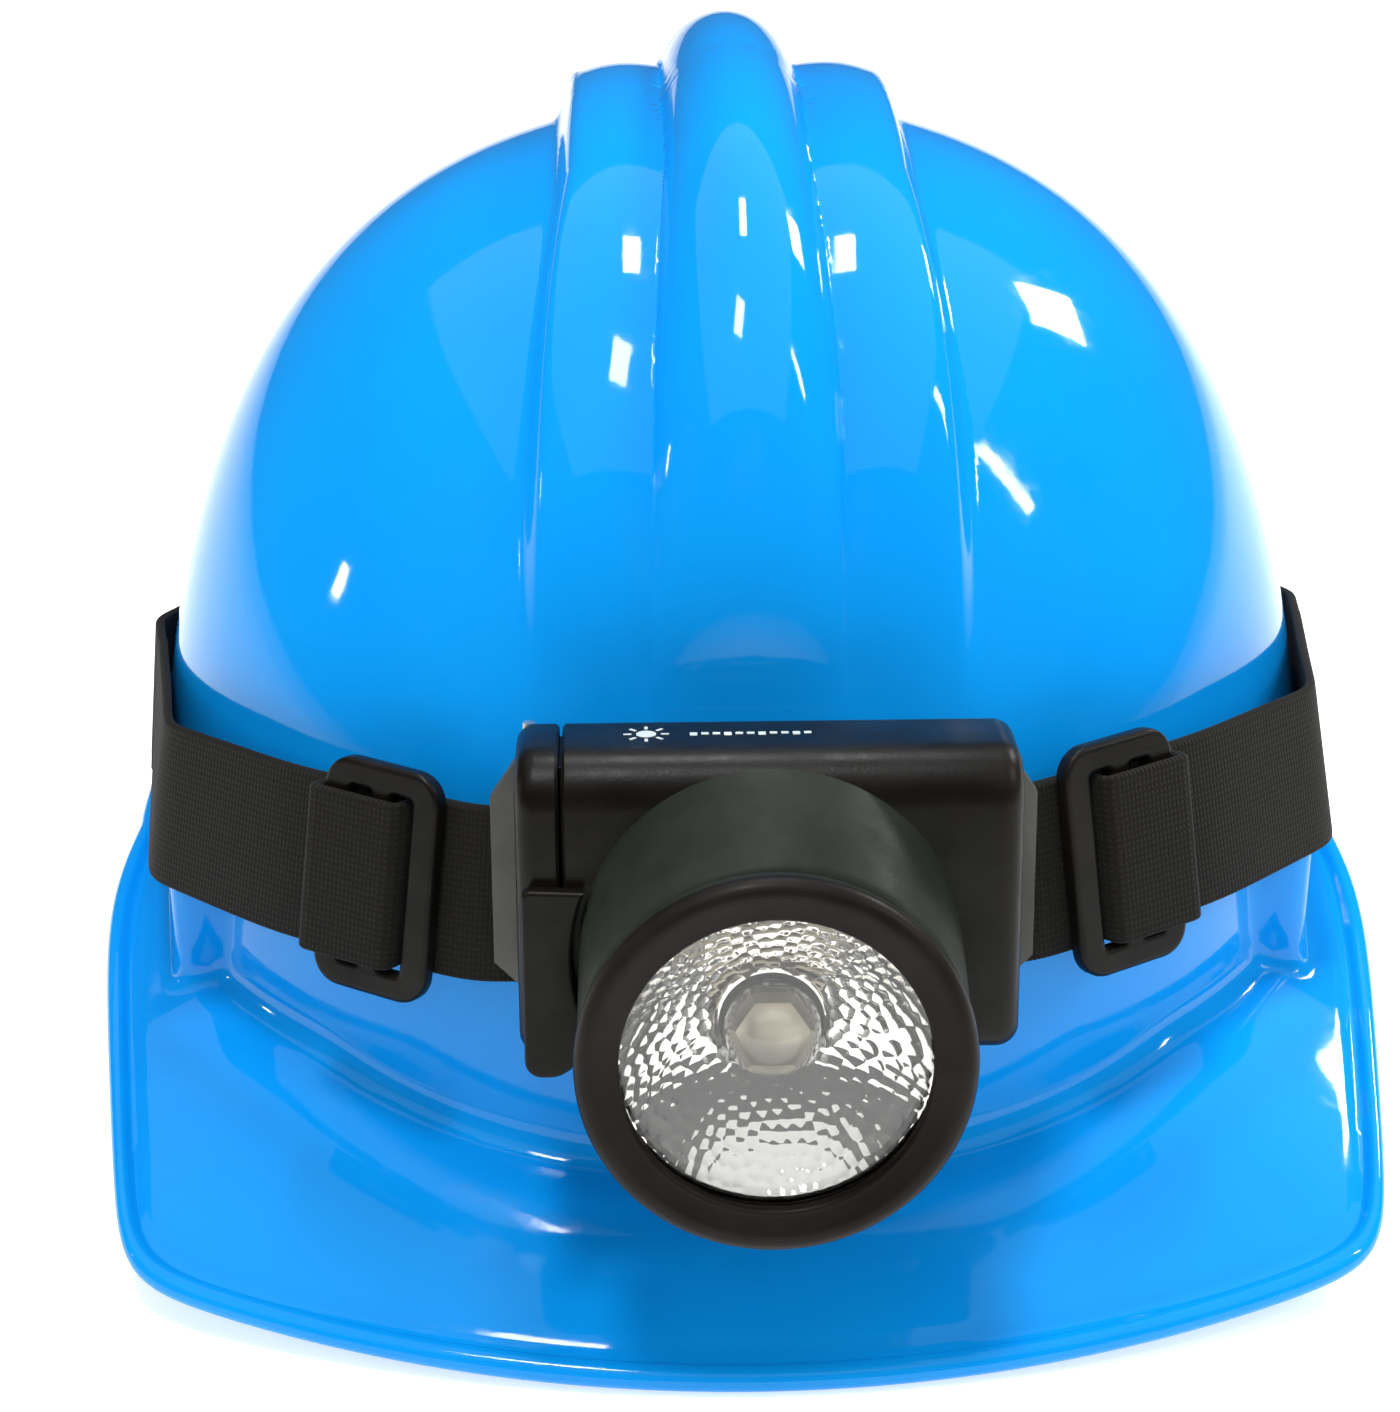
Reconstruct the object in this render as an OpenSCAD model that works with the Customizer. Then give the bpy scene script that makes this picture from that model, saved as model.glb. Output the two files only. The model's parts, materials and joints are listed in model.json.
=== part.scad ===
// Miner's cap with a strap-on cap lamp: ridged hard hat, head suspension, webbing strap and lamp.
// Millimetres, +Z up, the peak points along -Y, the hat stands on the plane z = 0.

/* [Hat shell] */
// Half the width of the dome at its foot
dome_half = 107.8; // [100:0.2:115]
// Reach of the dome in front of its centre
dome_front = 113.4; // [108:0.2:120]
// Reach of the dome behind its centre
dome_back = 116.8; // [110:0.2:124]
// Height of the crown above the table, without its ridges
dome_height = 157.7; // [150:0.1:165]
// Roundness of the upright profile, 2 for an ellipse
profile_power = 2.63; // [2.2:0.01:2.9]
// Squareness of the plan at the foot of the dome
plan_power_foot = 2.25; // [2:0.05:2.5]
// Squareness of the plan at the crown
plan_power_crown = 1.9; // [1.8:0.05:2.2]
// Thickness of the moulded shell
wall = 2.6; // [2:0.1:3.2]
// Distance of the dome's centre behind the origin
dome_y = 21; // [10:0.1:30]

/* [Ridges] */
// Height of the middle ridge above its two neighbours
ridge_rise = 9.5; // [4:0.5:12]
// Half the width of the middle ridge at the crown
ridge_half = 11.2; // [8:0.1:14]
// Height of the two flanking ridges above the dome
flank_rise = 8; // [4:0.5:10]
// Distance from the middle to the outer side of a flanking ridge
flank_half = 30.5; // [26:0.5:34]
// Half the length over which the ridges keep their width
ridge_straight = 30; // [20:1:60]
// Widening of the middle ridge's half width beyond that, for each millimetre
ridge_spread = 0.055; // [0:0.005:0.15]
// Widening of the flanking ridges' half width beyond that, for each millimetre
flank_spread = 0.1; // [0:0.005:0.2]
// Height at which the ridges have run out into the shell
ridge_fade_low = 78; // [70:1:100]
// Height from which the ridges are at their full size
ridge_fade_high = 146; // [120:1:150]

/* [Peak and rim] */
// Reach of the peak's tip in front of the dome's centre
peak_reach = 154.5; // [140:0.5:165]
// Radius of the peak's front edge
peak_radius = 241; // [180:1:300]
// Distance of each straight side of the peak from the centre
side_distance = 120.4; // [116:0.1:125]
// Angle of the peak's sides to the length of the hat
side_taper = 8.5; // [4:0.5:12]
// Distance of the short rear side of the brim from the centre
rear_side_distance = 110.3; // [106:0.1:114]
// Width of the narrow rim round the back
rim_width = 5.5; // [5:0.1:8]
// Slope of the peak's surface away from the dome
peak_slope = 18; // [10:1:24]
// Radius of the bead that runs round the edge
bead_r = 2.1; // [1.6:0.1:2.6]
// Height of the bead above the ears
arch_z = 27; // [18:0.5:30]
// Place along the hat where the bead is highest
arch_y = 20; // [0:1:30]

/* [Side pads] */
// Place of the pad's front face along the hat
pad_front = -68; // [-76:1:-56]
// Distance of the pad's side face from the centre
pad_distance = 106.8; // [104:0.1:109]
// Angle of the pad's side face to the length of the hat
pad_taper = 7.8; // [4:0.1:12]
// Height of the pad's top
pad_top = 56; // [46:1:64]

/* [Strap] */
// Width of the webbing
strap_w = 28; // [24:1:32]
// Thickness of the webbing
strap_t = 1.8; // [1.2:0.1:2.4]
// Height of the webbing's lower edge behind the lamp
strap_front_z = 52.3; // [46:0.1:58]
// Height of the webbing's lower edge at the back of the hat
strap_back_z = 26; // [20:0.5:34]
// Distance of the webbing behind the lamp from the dome's centre
strap_front_y = 113.5; // [112:0.1:118]
// Gap between the webbing and the shell
strap_gap = 0.6; // [0.3:0.1:1]
// Rise of the webbing towards the right-hand side for each millimetre
strap_roll = 0.025; // [0:0.005:0.03]
// Height of each buckle
buckle_h = 38; // [36:1:42]
// Width of each buckle
buckle_w = 21.5; // [20:0.5:24]
// Shift of each buckle along the webbing, away from the lamp
buckle_shift = -2.2; // [-4:0.1:4]

/* [Lamp] */
// Sideways place of the lamp on the hat
lamp_x = 1.5; // [-3:0.5:3]
// Height of the lamp's centre line
lamp_z = 73.5; // [70:0.5:78]
// Angle by which the lamp leans back with the shell
lamp_lean = 7; // [0:0.5:12]
// Width of the lamp's body with its battery door
body_w = 75; // [72:1:84]
// Height of the lamp's body
body_h = 47; // [47:1:58]
// Depth of the lamp's body
body_d = 21.5; // [21:0.5:23]
// Radius of the body's upper front edge
body_round = 8; // [4:0.5:8]
// Width of the battery door
door_w = 7; // [5:0.5:9]
// Wall thickness of the body
case_wall = 1.9; // [1.6:0.1:2]
// Width of the mounting plate
plate_w = 84; // [80:1:92]
// Height of the mounting plate
plate_h = 42; // [34:1:44]
// Outer radius of the bezel's lip
lip_r = 29.1; // [28:0.1:31]
// Distance of the lip's face in front of the mounting plate
lip_reach = 47; // [42:0.5:52]
// Radius of the clear opening of the lens
window_r = 22.6; // [20:0.1:24]
// Height of the lens axis below the middle of the body
axis_drop = 15.8; // [12:0.1:17]

/* [Head suspension] */
// Half the width of the headband
band_half = 79; // [74:0.5:84]
// Half the length of the headband
band_reach = 97; // [92:0.5:100]
// Reach of the headband's squarer back
band_back = 91; // [86:1:95]
// Height of the headband
band_h = 30; // [24:1:34]
// Thickness of the headband
band_t = 1.8; // [1.4:0.1:2.4]
// Height of the headband's lower edge
band_z = 8; // [4:0.5:14]

/* [Resolution] */
// Columns of facets round the shell
columns = 80; // [40:4:120]

/* [Hidden] */

blue = "#0a96eb";
black = "#1b1b1b";
charcoal = "#2e322f";
webbing = "#2d2823";
cloth = "#2a2a2c";
tape = "#3a3a3c";
nylon = "#d8d8d2";
rubber = "#101010";
steel = "#c8c8c4";

// Fine circles
$fn = 48;

back_reach = dome_back + rim_width;

// ---------- Shell geometry ----------
// Falls smoothly from 1 to 0 as v goes from hi to lo
function ease(lo, hi, v) = let (q = max(0, min(1, (v - lo) / (hi - lo)))) q * q * (3 - 2 * q);

// Height of the middle of the edge bead at a place along the hat
function edge_z(y) = y < arch_y
    ? arch_z - (arch_z - bead_r) * pow(min(1, (arch_y - y) / (arch_y + peak_reach)), 2)
    : arch_z - (arch_z - bead_r) * pow(min(1, (y - arch_y) / (back_reach - arch_y)), 2);

// Radius of the dome in direction t at height z, for a skin set inwards by inset
function dome_r(t, z, inset = 0) = let (
    a = dome_half - inset,
    b = (sin(t) < 0 ? dome_front : dome_back) - inset,
    h = dome_height - inset,
    m = plan_power_foot + (plan_power_crown - plan_power_foot) * z / dome_height,
    plan = pow(pow(abs(cos(t)) / a, m) + pow(abs(sin(t)) / b, m), -1 / m)
) plan * pow(max(0, 1 - pow(max(0, z) / h, profile_power)), 1 / profile_power);

// Distance to a straight line whose outward normal is at angle n, seen in direction t
function line_r(t, n, distance) = let (
    facing = cos(n) * abs(cos(t)) + sin(n) * sin(t)
) facing > 0.05 ? distance / facing : 9999;

// Angle behind the middle of the hat, zero in front of it
function behind_angle(t) = sin(t) < 0 ? 0 : asin(sin(t));

// Outline of peak and rim
function peak_r(t) = let (
    side = line_r(t, -side_taper, side_distance),
    rear = line_r(t, side_taper, rear_side_distance),
    centre = peak_radius - peak_reach,
    tip = centre * sin(t) + sqrt(pow(centre * sin(t), 2) - centre * centre + peak_radius * peak_radius),
    peak = pow(pow(side, -36) + pow(rear, -36) + pow(tip, -36), -1 / 36),
    rim = dome_r(t, 20) + rim_width
) rim + max(0, peak - rim) * ease(16, -2, behind_angle(t));

// Radius of the side pads
function pad_r(t) = let (
    side = line_r(t, -pad_taper, pad_distance),
    front = sin(t) < -0.05 ? pad_front / sin(t) : 9999
) pow(pow(side, -60) + pow(front, -60), -1 / 60);

// Skin radius with the side pads
function skin_r(t, z, inset = 0) = let (
    r = dome_r(t, z, inset),
    strength = ease(pad_top, pad_top - 8, z) * ease(9, 2, behind_angle(t))
) r + max(0, pad_r(t) - inset - r) * strength;

// Height of the three ridges above the dome at distance x from the middle and y along the hat
function ridge(x, y, z) = let (
    beyond = max(0, abs(y) - ridge_straight),
    core = ridge_half + ridge_spread * beyond,
    outer = flank_half + flank_spread * beyond,
    s = abs(x),
    middle = s < core ? pow(1 - pow(s / core, 2), 0.75) : 0,
    swell = s > core ? 0.8 + 0.2 * sin(180 * min(1, (s - core) / (outer - core))) : 0.8,
    flank = swell * ease(outer + 1, outer - 5, s)
) (ridge_rise * middle + flank_rise * flank) * ease(ridge_fade_low, ridge_fade_high, z);

// A point of the skin at height z, pushed out along the skin by the ridges
function skin_point(t, z, inset = 0) = let (
    r = skin_r(t, z, inset),
    p = [r * cos(t), r * sin(t), z],
    away = p - [0, 0, 0.3 * z],
    push = ridge(p[0], p[1], z)
) p + away / norm(away) * push;

crown_z = dome_height + ridge_rise + 0.8 * flank_rise;
// Height of the joint between crown and wall, just under the ridges
cut_z = ridge_fade_low - 2;
crown_steps = 11;
// Crowds the rings of facets towards the top of the crown
pole_crowding = 1.6;
wall_steps = 7;
under_wall = 2.4;

// Edge, foot and slope of the brim in direction t: [edge radius, edge height, foot radius, foot height]
function brim(t) = let (
    r_edge = peak_r(t),
    z_edge = edge_z(r_edge * sin(t)),
    r_low = skin_r(t, z_edge + 4),
    z_foot = z_edge + (r_edge - r_low) * tan(peak_slope),
    r_foot = skin_r(t, z_foot)
) [r_edge, z_edge, r_foot, z_foot];

function brim_z(b, r) = let (q = (r - b[2]) / (b[0] - b[2])) b[3] - (b[3] - b[1]) * pow(max(0, q), 1.25);

// Step k of n down the profile of a skin from height top to height bottom
function profile_z(k, n, top, bottom, inset = 0) = let (
    h = dome_height - inset,
    from = asin(pow(min(1, top / h), profile_power / 2)),
    to = asin(pow(bottom / h, profile_power / 2))
) h * pow(sin(from + (to - from) * k / n), 2 / profile_power);

function around(t, r, z) = [r * cos(t), r * sin(t), z];

// Upright sections of the three parts of the shell in direction t
function crown_section(t) = let (
    shares = [for (k = [1:crown_steps]) pow(k / crown_steps, pole_crowding)]
) concat(
    [for (k = [0:crown_steps - 1]) skin_point(t, profile_z(shares[k], 1, dome_height, cut_z))],
    [for (k = [crown_steps - 1:-1:0])
        skin_point(t, profile_z(shares[k], 1, dome_height - wall, cut_z, wall), wall)]
);

function wall_section(t) = let (b = brim(t), top = b[3] + 1, under = b[3] - under_wall) concat(
    [for (k = [0:wall_steps]) skin_point(t, profile_z(k, wall_steps, cut_z, top))],
    [around(t, b[2], b[3]), around(t, b[2], under)],
    [for (k = [wall_steps:-1:0]) skin_point(t, profile_z(k, wall_steps, cut_z, under, wall), wall)]
);

function brim_section(t) = let (
    b = brim(t),
    r_out = b[0] - 1.7 * bead_r,
    spans = [0, 0.25, 0.5, 0.75, 1],
    r_at = [for (q = spans) b[2] + (r_out - b[2]) * q]
) concat(
    [for (r = r_at) around(t, r, brim_z(b, r))],
    [for (a = [110, 60, 0, -45, -90, -135])
        around(t, b[0] - bead_r + bead_r * cos(a), b[1] + bead_r * sin(a))],
    [for (q = [0.9, 0.45, 0]) let (r = b[2] + (r_out - b[2]) * q) around(t, r, brim_z(b, r) - under_wall)]
);

// Directions crowd together at front and back, where the ridges run
function column_angle(k) = let (t = 360 * k / columns) t + 0.3 * sin(2 * t) * 180 / PI;

// ---------- Hat ----------
module on_hat() {
    translate([0, dome_y, 0]) children();
}

// Skin through sections that close on themselves, one for each column
module closed_ring(sections) {
    rows = len(sections[0]);
    function at(c, r) = (c % columns) * rows + r % rows;
    polyhedron([for (section = sections) each section],
        [for (c = [0:columns - 1]) for (r = [0:rows - 1]) each [
            [at(c, r), at(c + 1, r), at(c + 1, r + 1)],
            [at(c, r), at(c + 1, r + 1), at(c, r + 1)]]], convexity = 8);
}

module shell_crown() {
    rows = 2 * crown_steps;
    sections = [for (k = [0:columns - 1]) crown_section(column_angle(k))];
    tops = [[0, 0, crown_z], [0, 0, crown_z - wall]];
    function at(c, r) = 2 + (c % columns) * rows + r;
    faces = concat(
        [for (c = [0:columns - 1]) [0, at(c + 1, 0), at(c, 0)]],
        [for (c = [0:columns - 1]) [1, at(c, rows - 1), at(c + 1, rows - 1)]],
        [for (c = [0:columns - 1]) for (r = [0:rows - 2]) each [
            [at(c, r), at(c + 1, r), at(c + 1, r + 1)],
            [at(c, r), at(c + 1, r + 1), at(c, r + 1)]]]
    );
    points = concat(tops, [for (section = sections) each section]);
    color(blue) on_hat() polyhedron(points, faces, convexity = 8);
}

module shell_wall() {
    color(blue) on_hat() closed_ring([for (k = [0:columns - 1]) wall_section(column_angle(k))]);
}

module shell_brim() {
    color(blue) on_hat() closed_ring([for (k = [0:columns - 1]) brim_section(column_angle(k))]);
}

// ---------- Head suspension ----------
ratchet_y = band_reach - 1;
knob_z = band_z + 13;
pinion_r = 5;
key_z = band_z + 22;
key_angles = [38, 142, 218, 322];

// Plan of the headband: an oval in front and a squarer oval behind
function band_point(t, inset = 0) = let (
    power = sin(t) < 0 ? 1 : 0.62,
    half = band_half - inset,
    reach = (sin(t) < 0 ? band_reach : band_back) - inset
) [half * sign(cos(t)) * pow(abs(cos(t)), power), reach * sign(sin(t)) * pow(abs(sin(t)), power)];

// A closed ring or an open strip of band between directions from and to
module band_strip(from, to, inset, t, h, steps = 48) {
    angles = [for (k = [0:steps]) from + (to - from) * k / steps];
    linear_extrude(height = h)
        polygon(concat([for (a = angles) band_point(a, inset)],
            [for (k = [steps:-1:0]) band_point(angles[k], inset + t)]));
}

module headband() {
    // The band is open at the back, where two guides hold the rack arms
    color(black) on_hat() difference() {
        union() {
            translate([0, 0, band_z]) band_strip(-259, 79, 0, band_t, band_h, 84);
            for (side = [-1, 1]) translate([side * 37 - 4, band_back - 7.5, knob_z + side * 6.1 - 4.5])
                cube([8, ratchet_y - band_back + 9, 9]);
        }
        for (side = [-1, 1]) translate([side * 37 - 5, ratchet_y - 3.3, knob_z + side * 6.1 - 2.1])
            cube([10, 2.6, 4.2]);
    }
}

module brow_pad() {
    pad_t = 4;
    color(cloth) on_hat() translate([0, 0, band_z + 1])
        band_strip(-160, -20, band_t + 0.1, pad_t, band_h - 4, 36);
}

module suspension_keys() {
    // Four keys stand between the headband and the shell and hold the crown straps
    key_w = 14;
    key_h = 16;
    clearance = 1.6;
    color(nylon) on_hat() for (a = key_angles) {
        p = band_point(a);
        turn = atan2(p[1], p[0]);
        reach = skin_r(turn, key_z + key_h) - wall - norm(p) - 2 * clearance;
        rotate([0, 0, turn]) translate([norm(p) + clearance, -key_w / 2, key_z - 4])
            cube([reach, key_w, key_h]);
    }
}

// One webbing strap over the head, from the band at one direction to the band at the opposite one
module crown_strap(angle, rise) {
    a = band_point(angle);
    b = band_point(angle + 180);
    span = norm(a - b) / 2 - band_t - 8;
    foot = band_z + band_h - 4;
    tape_w = 19;
    tape_t = 1.2;
    steps = 28;
    function line(inset) = [for (k = [0:steps]) let (s = 180 * k / steps)
        [(span - inset) * cos(s), foot + (rise - inset) * pow(sin(s), 0.8)]];
    inner = line(tape_t);
    on_hat() translate([(a[0] + b[0]) / 2, (a[1] + b[1]) / 2, 0])
        rotate([0, 0, atan2(a[1] - b[1], a[0] - b[0])]) translate([0, tape_w / 2, 0]) rotate([90, 0, 0])
            linear_extrude(height = tape_w)
                polygon(concat(line(0), [for (k = [steps:-1:0]) inner[k]]));
}

module crown_strap_long() {
    color(tape) crown_strap(key_angles[0], 96);
}

module crown_strap_cross() {
    color(tape) crown_strap(key_angles[1], 94);
}

module crown_pad() {
    // A soft round pad under the place where the straps cross
    color(cloth) on_hat() translate([0, 0, band_z + band_h + 76]) cylinder(r = 26, h = 5);
}

module ratchet_housing() {
    w = 44;
    h = 24;
    color(black) on_hat() difference() {
        translate([-w / 2, ratchet_y - 5.2, knob_z - h / 2]) cube([w, 8, h]);
        // Channel for the two racks and the pinion
        translate([-w / 2 - 1, ratchet_y - 3.4, knob_z - 8.2]) cube([w + 2, 4.6, 16.4]);
        // Bore of the knob's shaft
        translate([0, ratchet_y, knob_z]) rotate([-90, 0, 0]) cylinder(r = 3.05, h = 10);
    }
}

module ratchet_pinion() {
    // Ten-tooth pinion on the knob's shaft, between the two racks
    teeth = 10;
    color(nylon) on_hat() translate([0, ratchet_y - 3, knob_z]) rotate([-90, 0, 0]) {
        cylinder(r = pinion_r - 1.1, h = 3.8);
        for (k = [0:teeth - 1]) rotate([0, 0, 360 * k / teeth + 18])
            translate([pinion_r - 1.6, -0.55, 0]) cube([1.9, 1.1, 3.8]);
    }
}

module ratchet_knob() {
    color(black) on_hat() translate([0, ratchet_y, knob_z]) rotate([-90, 0, 0]) {
        translate([0, 0, 0.8]) cylinder(r = 3, h = 3.2);
        translate([0, 0, 3.4]) cylinder(r = 13, h = 7);
        for (k = [0:17]) rotate([0, 0, 20 * k]) translate([13, 0, 3.4]) cylinder(r = 1.2, h = 7, $fn = 16);
    }
}

// An arm with rack teeth on the edge that faces the pinion; side is 1 or -1
module rack_arm(side) {
    pitch = PI * 2 * pinion_r / 10;
    edge = pinion_r + 0.6;
    on_hat() translate([0, ratchet_y - 2.9, knob_z]) rotate([0, side < 0 ? 180 : 0, 0]) difference() {
        translate([-15, 0, edge - 1.2]) cube([62, 1.8, 3.4]);
        for (k = [-5:5]) translate([k * pitch - 0.95, -1, edge - 2]) cube([1.9, 4, 2]);
    }
}

module rack_left() {
    color(nylon) rack_arm(-1);
}

module rack_right() {
    color(nylon) rack_arm(1);
}

module nape_pad() {
    color(cloth) on_hat() translate([-24, ratchet_y - 10.6, knob_z - 12]) cube([48, 5.2, 24]);
}

// ---------- Strap ----------
// Normals and distances of the straight runs between lamp, buckle, side pad and ear
strap_lines = [[-90, strap_front_y], [-59.56, 120.15], [-43.8, 120.6], [-7.6, 109.3]];
buckle_angle = strap_lines[1][0];
strap_drop_end = dome_back;
strap_drop_power = 0.85;

// Height of the webbing's lower edge; it drops from the lamp towards the back and clears the rim
function strap_z(x, y) = let (q = max(0, min(1, (y + strap_front_y) / (strap_drop_end + strap_front_y))))
    strap_front_z + (strap_back_z - strap_front_z) * (1 - cos(180 * pow(q, strap_drop_power))) / 2
        + strap_roll * x * (1 - q);

// Inward lean of the webbing over its width, with the shell behind it
function strap_lean(t, z) = dome_r(t, z) - dome_r(t, z + strap_w);

// Distance of the webbing's middle layer from the dome's centre, at its lower edge
function strap_r(t, z) = let (
    skin = max([for (q = [0, 0.25, 0.5, 0.75, 1]) skin_r(t, z + strap_w * q) + strap_lean(t, z) * q])
        + strap_gap + strap_t / 2,
    runs = [for (l = strap_lines) pow(line_r(t, l[0], l[1]), -90)],
    straight = pow(runs[0] + runs[1] + runs[2] + runs[3], -1 / 90)
) sin(t) < -0.075 ? max(straight, dome_r(t, z) + strap_gap + strap_t / 2) : skin;

// The four corners of the webbing's cross-section in direction t
function strap_section(t) = let (
    r0 = strap_r(t, strap_front_z),
    z0 = strap_z(r0 * cos(t), r0 * sin(t)),
    r = strap_r(t, z0),
    z = strap_z(r * cos(t), r * sin(t)),
    lean = strap_lean(t, z)
) [for (c = [[r + strap_t / 2, z], [r - strap_t / 2, z], [r - strap_t / 2 - lean, z + strap_w],
    [r + strap_t / 2 - lean, z + strap_w]]) [c[0] * cos(t), c[0] * sin(t), c[1]]];

// Webbing between directions from and to
module webbing_run(from, to, steps) {
    sections = [for (k = [0:steps]) strap_section(from + (to - from) * k / steps)];
    faces = concat([[0, 1, 2, 3]], [[4 * steps + 3, 4 * steps + 2, 4 * steps + 1, 4 * steps]],
        [for (k = [0:steps - 1]) for (c = [0:3]) each [
            [4 * k + c, 4 * k + 4 + c, 4 * k + (c + 1) % 4],
            [4 * k + (c + 1) % 4, 4 * k + 4 + c, 4 * k + 4 + (c + 1) % 4]]]);
    on_hat() polyhedron([for (s = sections) each s], faces, convexity = 6);
}

module strap_front() {
    color(webbing) webbing_run(-180 - buckle_angle, buckle_angle, 30);
}

module strap_rear() {
    color(webbing) webbing_run(buckle_angle + 0.02, 180 - buckle_angle - 0.02, 90);
}

// Frame of a buckle: X along the strap away from the lamp, -Y away from the hat
module at_buckle(side) {
    foot = [strap_lines[1][1] * cos(buckle_angle), strap_lines[1][1] * sin(buckle_angle)];
    z = strap_z(side * foot[0], foot[1]) + strap_w / 2;
    lean = strap_lean(buckle_angle, z - strap_w / 2);
    on_hat() rotate([0, 0, side * (buckle_angle + 90)]) translate([0, -(strap_lines[1][1] - lean / 2), z])
        rotate([-atan(lean / strap_w), 0, 0]) mirror([side < 0 ? 1 : 0, 0, 0])
            translate([buckle_shift, 0, 0]) children();
}

buckle_back = strap_t / 2 + 0.4;
buckle_t = 3.2;
slot_w = 4;
slot_h = strap_w + 2;
slot_x = 3.8;

module rounded_slab(w, h, r) {
    square([w - 2 * r, h], center = true);
    square([w, h - 2 * r], center = true);
    for (x = [-1, 1]) for (y = [-1, 1]) translate([x * (w / 2 - r), y * (h / 2 - r)]) circle(r);
}

// Frame with two slots and a middle bar
module buckle(side) {
    at_buckle(side) translate([0, -buckle_back, 0]) rotate([90, 0, 0]) linear_extrude(height = buckle_t)
        difference() {
            rounded_slab(buckle_w, buckle_h, 5);
            for (x = [-slot_x, slot_x]) translate([x, 0]) square([slot_w, slot_h], center = true);
        }
}

// Webbing folded from the inner slot over the front and round the outer bar
module strap_fold(side) {
    front = -buckle_back - buckle_t - 0.3;
    inner = -slot_x - strap_t / 2;
    outer = buckle_w / 2 + 0.4;
    back = -strap_t / 2 - 0.35;
    color(webbing) at_buckle(side) translate([0, 0, -strap_w / 2]) linear_extrude(height = strap_w)
        polygon([[inner, back - 0.4], [inner, front - strap_t], [outer + strap_t, front - strap_t],
            [outer + strap_t, back], [outer, back], [outer, front], [inner + strap_t, front],
            [inner + strap_t, back - 0.4]]);
}

module buckle_left() {
    color(black) buckle(-1);
}

module buckle_right() {
    color(black) buckle(1);
}

module strap_fold_left() {
    strap_fold(-1);
}

module strap_fold_right() {
    strap_fold(1);
}

// ---------- Lamp ----------
// Lamp frame: origin on the plate's back, -Y along the beam, leaning back with the shell
lamp_y = -(strap_front_y + strap_t / 2 + 0.9) + (lamp_z - strap_front_z) * tan(lamp_lean);

module in_lamp() {
    on_hat() translate([lamp_x, lamp_y, lamp_z]) rotate([-lamp_lean, 0, 0]) children();
}

// Turns a shape drawn round Z so that Z points along the beam, at distance y from the plate
module along_beam(y) {
    translate([0, -y, -axis_drop]) rotate([90, 0, 0]) children();
}

plate_t = 2.5;
body_back = 3.5;
body_front = body_back + body_d;
door_gap = 0.5;
body_left = -body_w / 2 + door_w;
body_right = body_w / 2;
pin_r = 1.5;
tilt_y = 5.4;
tilt_z = -(body_h / 2 + 2.8);
lug_r = 2.9;
lug_w = 3;
ear_w = 3.5;
plate_drop = 2;
plate_clip = 6;
hood_front = lip_reach - 5.4;
hood_r = 28.7;
hood_back_r = 28.4;
hood_rise = 9.6;
latch_at = [-body_w / 2 + 4.4, -20];
latch_top = 4.8;
latch_t = 2.8;
sleeve_r = 26.2;
bezel_bore = 25.4;
lens_r = 25;
socket_r = 6;

// Outline of the body seen from its end, drawn with x backwards and y up
module body_outline() {
    edge = 4;
    hull() {
        for (z = [-1, 1]) translate([-body_back - edge, z * (body_h / 2 - edge)]) circle(edge);
        translate([-body_front + edge, -body_h / 2 + edge]) circle(edge);
        translate([-body_front + body_round, body_h / 2 - body_round]) circle(body_round);
    }
}

// Extrudes an end-on outline from x0 to x1
module along_body(x0, x1) {
    translate([x0, 0, 0]) rotate([90, 0, 90]) linear_extrude(height = x1 - x0) children();
}

module back_plate() {
    // Signs of each corner with its offset: the corners are clipped
    plate_corners = [
        [-1, -1, 0, plate_clip], [-1, -1, plate_clip, 0],
        [1, -1, -plate_clip, 0], [1, -1, 0, plate_clip],
        [1, 1, 0, -1.5 * plate_clip], [1, 1, -plate_clip, 0],
        [-1, 1, plate_clip, 0], [-1, 1, 0, -1.5 * plate_clip]
    ];
    color(charcoal) in_lamp() difference() {
        union() {
            // Plate with clipped corners
            translate([0, 0, -plate_drop]) rotate([90, 0, 0]) linear_extrude(height = plate_t)
                polygon([for (c = plate_corners) [c[0] * plate_w / 2 + c[2], c[1] * plate_h / 2 + c[3]]]);
            // Tongue that carries the tilt lugs
            translate([-28, -plate_t, tilt_z - 1]) cube([56, plate_t, 5]);
            for (x = [-27, 24]) translate([x, -tilt_y, tilt_z]) {
                rotate([0, 90, 0]) cylinder(r = lug_r, h = lug_w);
                translate([0, 0, -lug_r]) cube([lug_w, tilt_y - plate_t + 0.1, 2 * lug_r]);
            }
        }
        for (x = [-28, 23]) translate([x, -tilt_y, tilt_z]) rotate([0, 90, 0])
            cylinder(r = pin_r, h = lug_w + 2);
    }
}

module tilt_pins() {
    color(steel) in_lamp() for (x = [-27.4, 19.6]) translate([x, -tilt_y, tilt_z]) rotate([0, 90, 0])
        cylinder(r = pin_r, h = 7.8);
}

module lamp_body() {
    color(black) in_lamp() difference() {
        union() {
            along_body(body_left, body_right) body_outline();
            // Ears that turn on the tilt pins
            for (x = [-23.7, 20.2]) {
                translate([x, -tilt_y, tilt_z]) rotate([0, 90, 0]) cylinder(r = lug_r - 0.3, h = ear_w);
                translate([x, -tilt_y - lug_r + 0.3, tilt_z])
                    cube([ear_w, 2 * lug_r - 0.6, -tilt_z - body_h / 2 + 1]);
            }
        }
        // Battery compartment, open at the door's end
        translate([body_left - 1, -body_front + 4.4, -body_h / 2 + case_wall])
            cube([body_w - door_w - case_wall + 1, body_d - 6.1, body_h - 2 * case_wall]);
        along_beam(body_back + 12) cylinder(r = socket_r + 0.1, h = 12);
        for (x = [-24, 19.9]) translate([x, -tilt_y, tilt_z]) rotate([0, 90, 0])
            cylinder(r = pin_r + 0.06, h = 4.1);
    }
}

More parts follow.
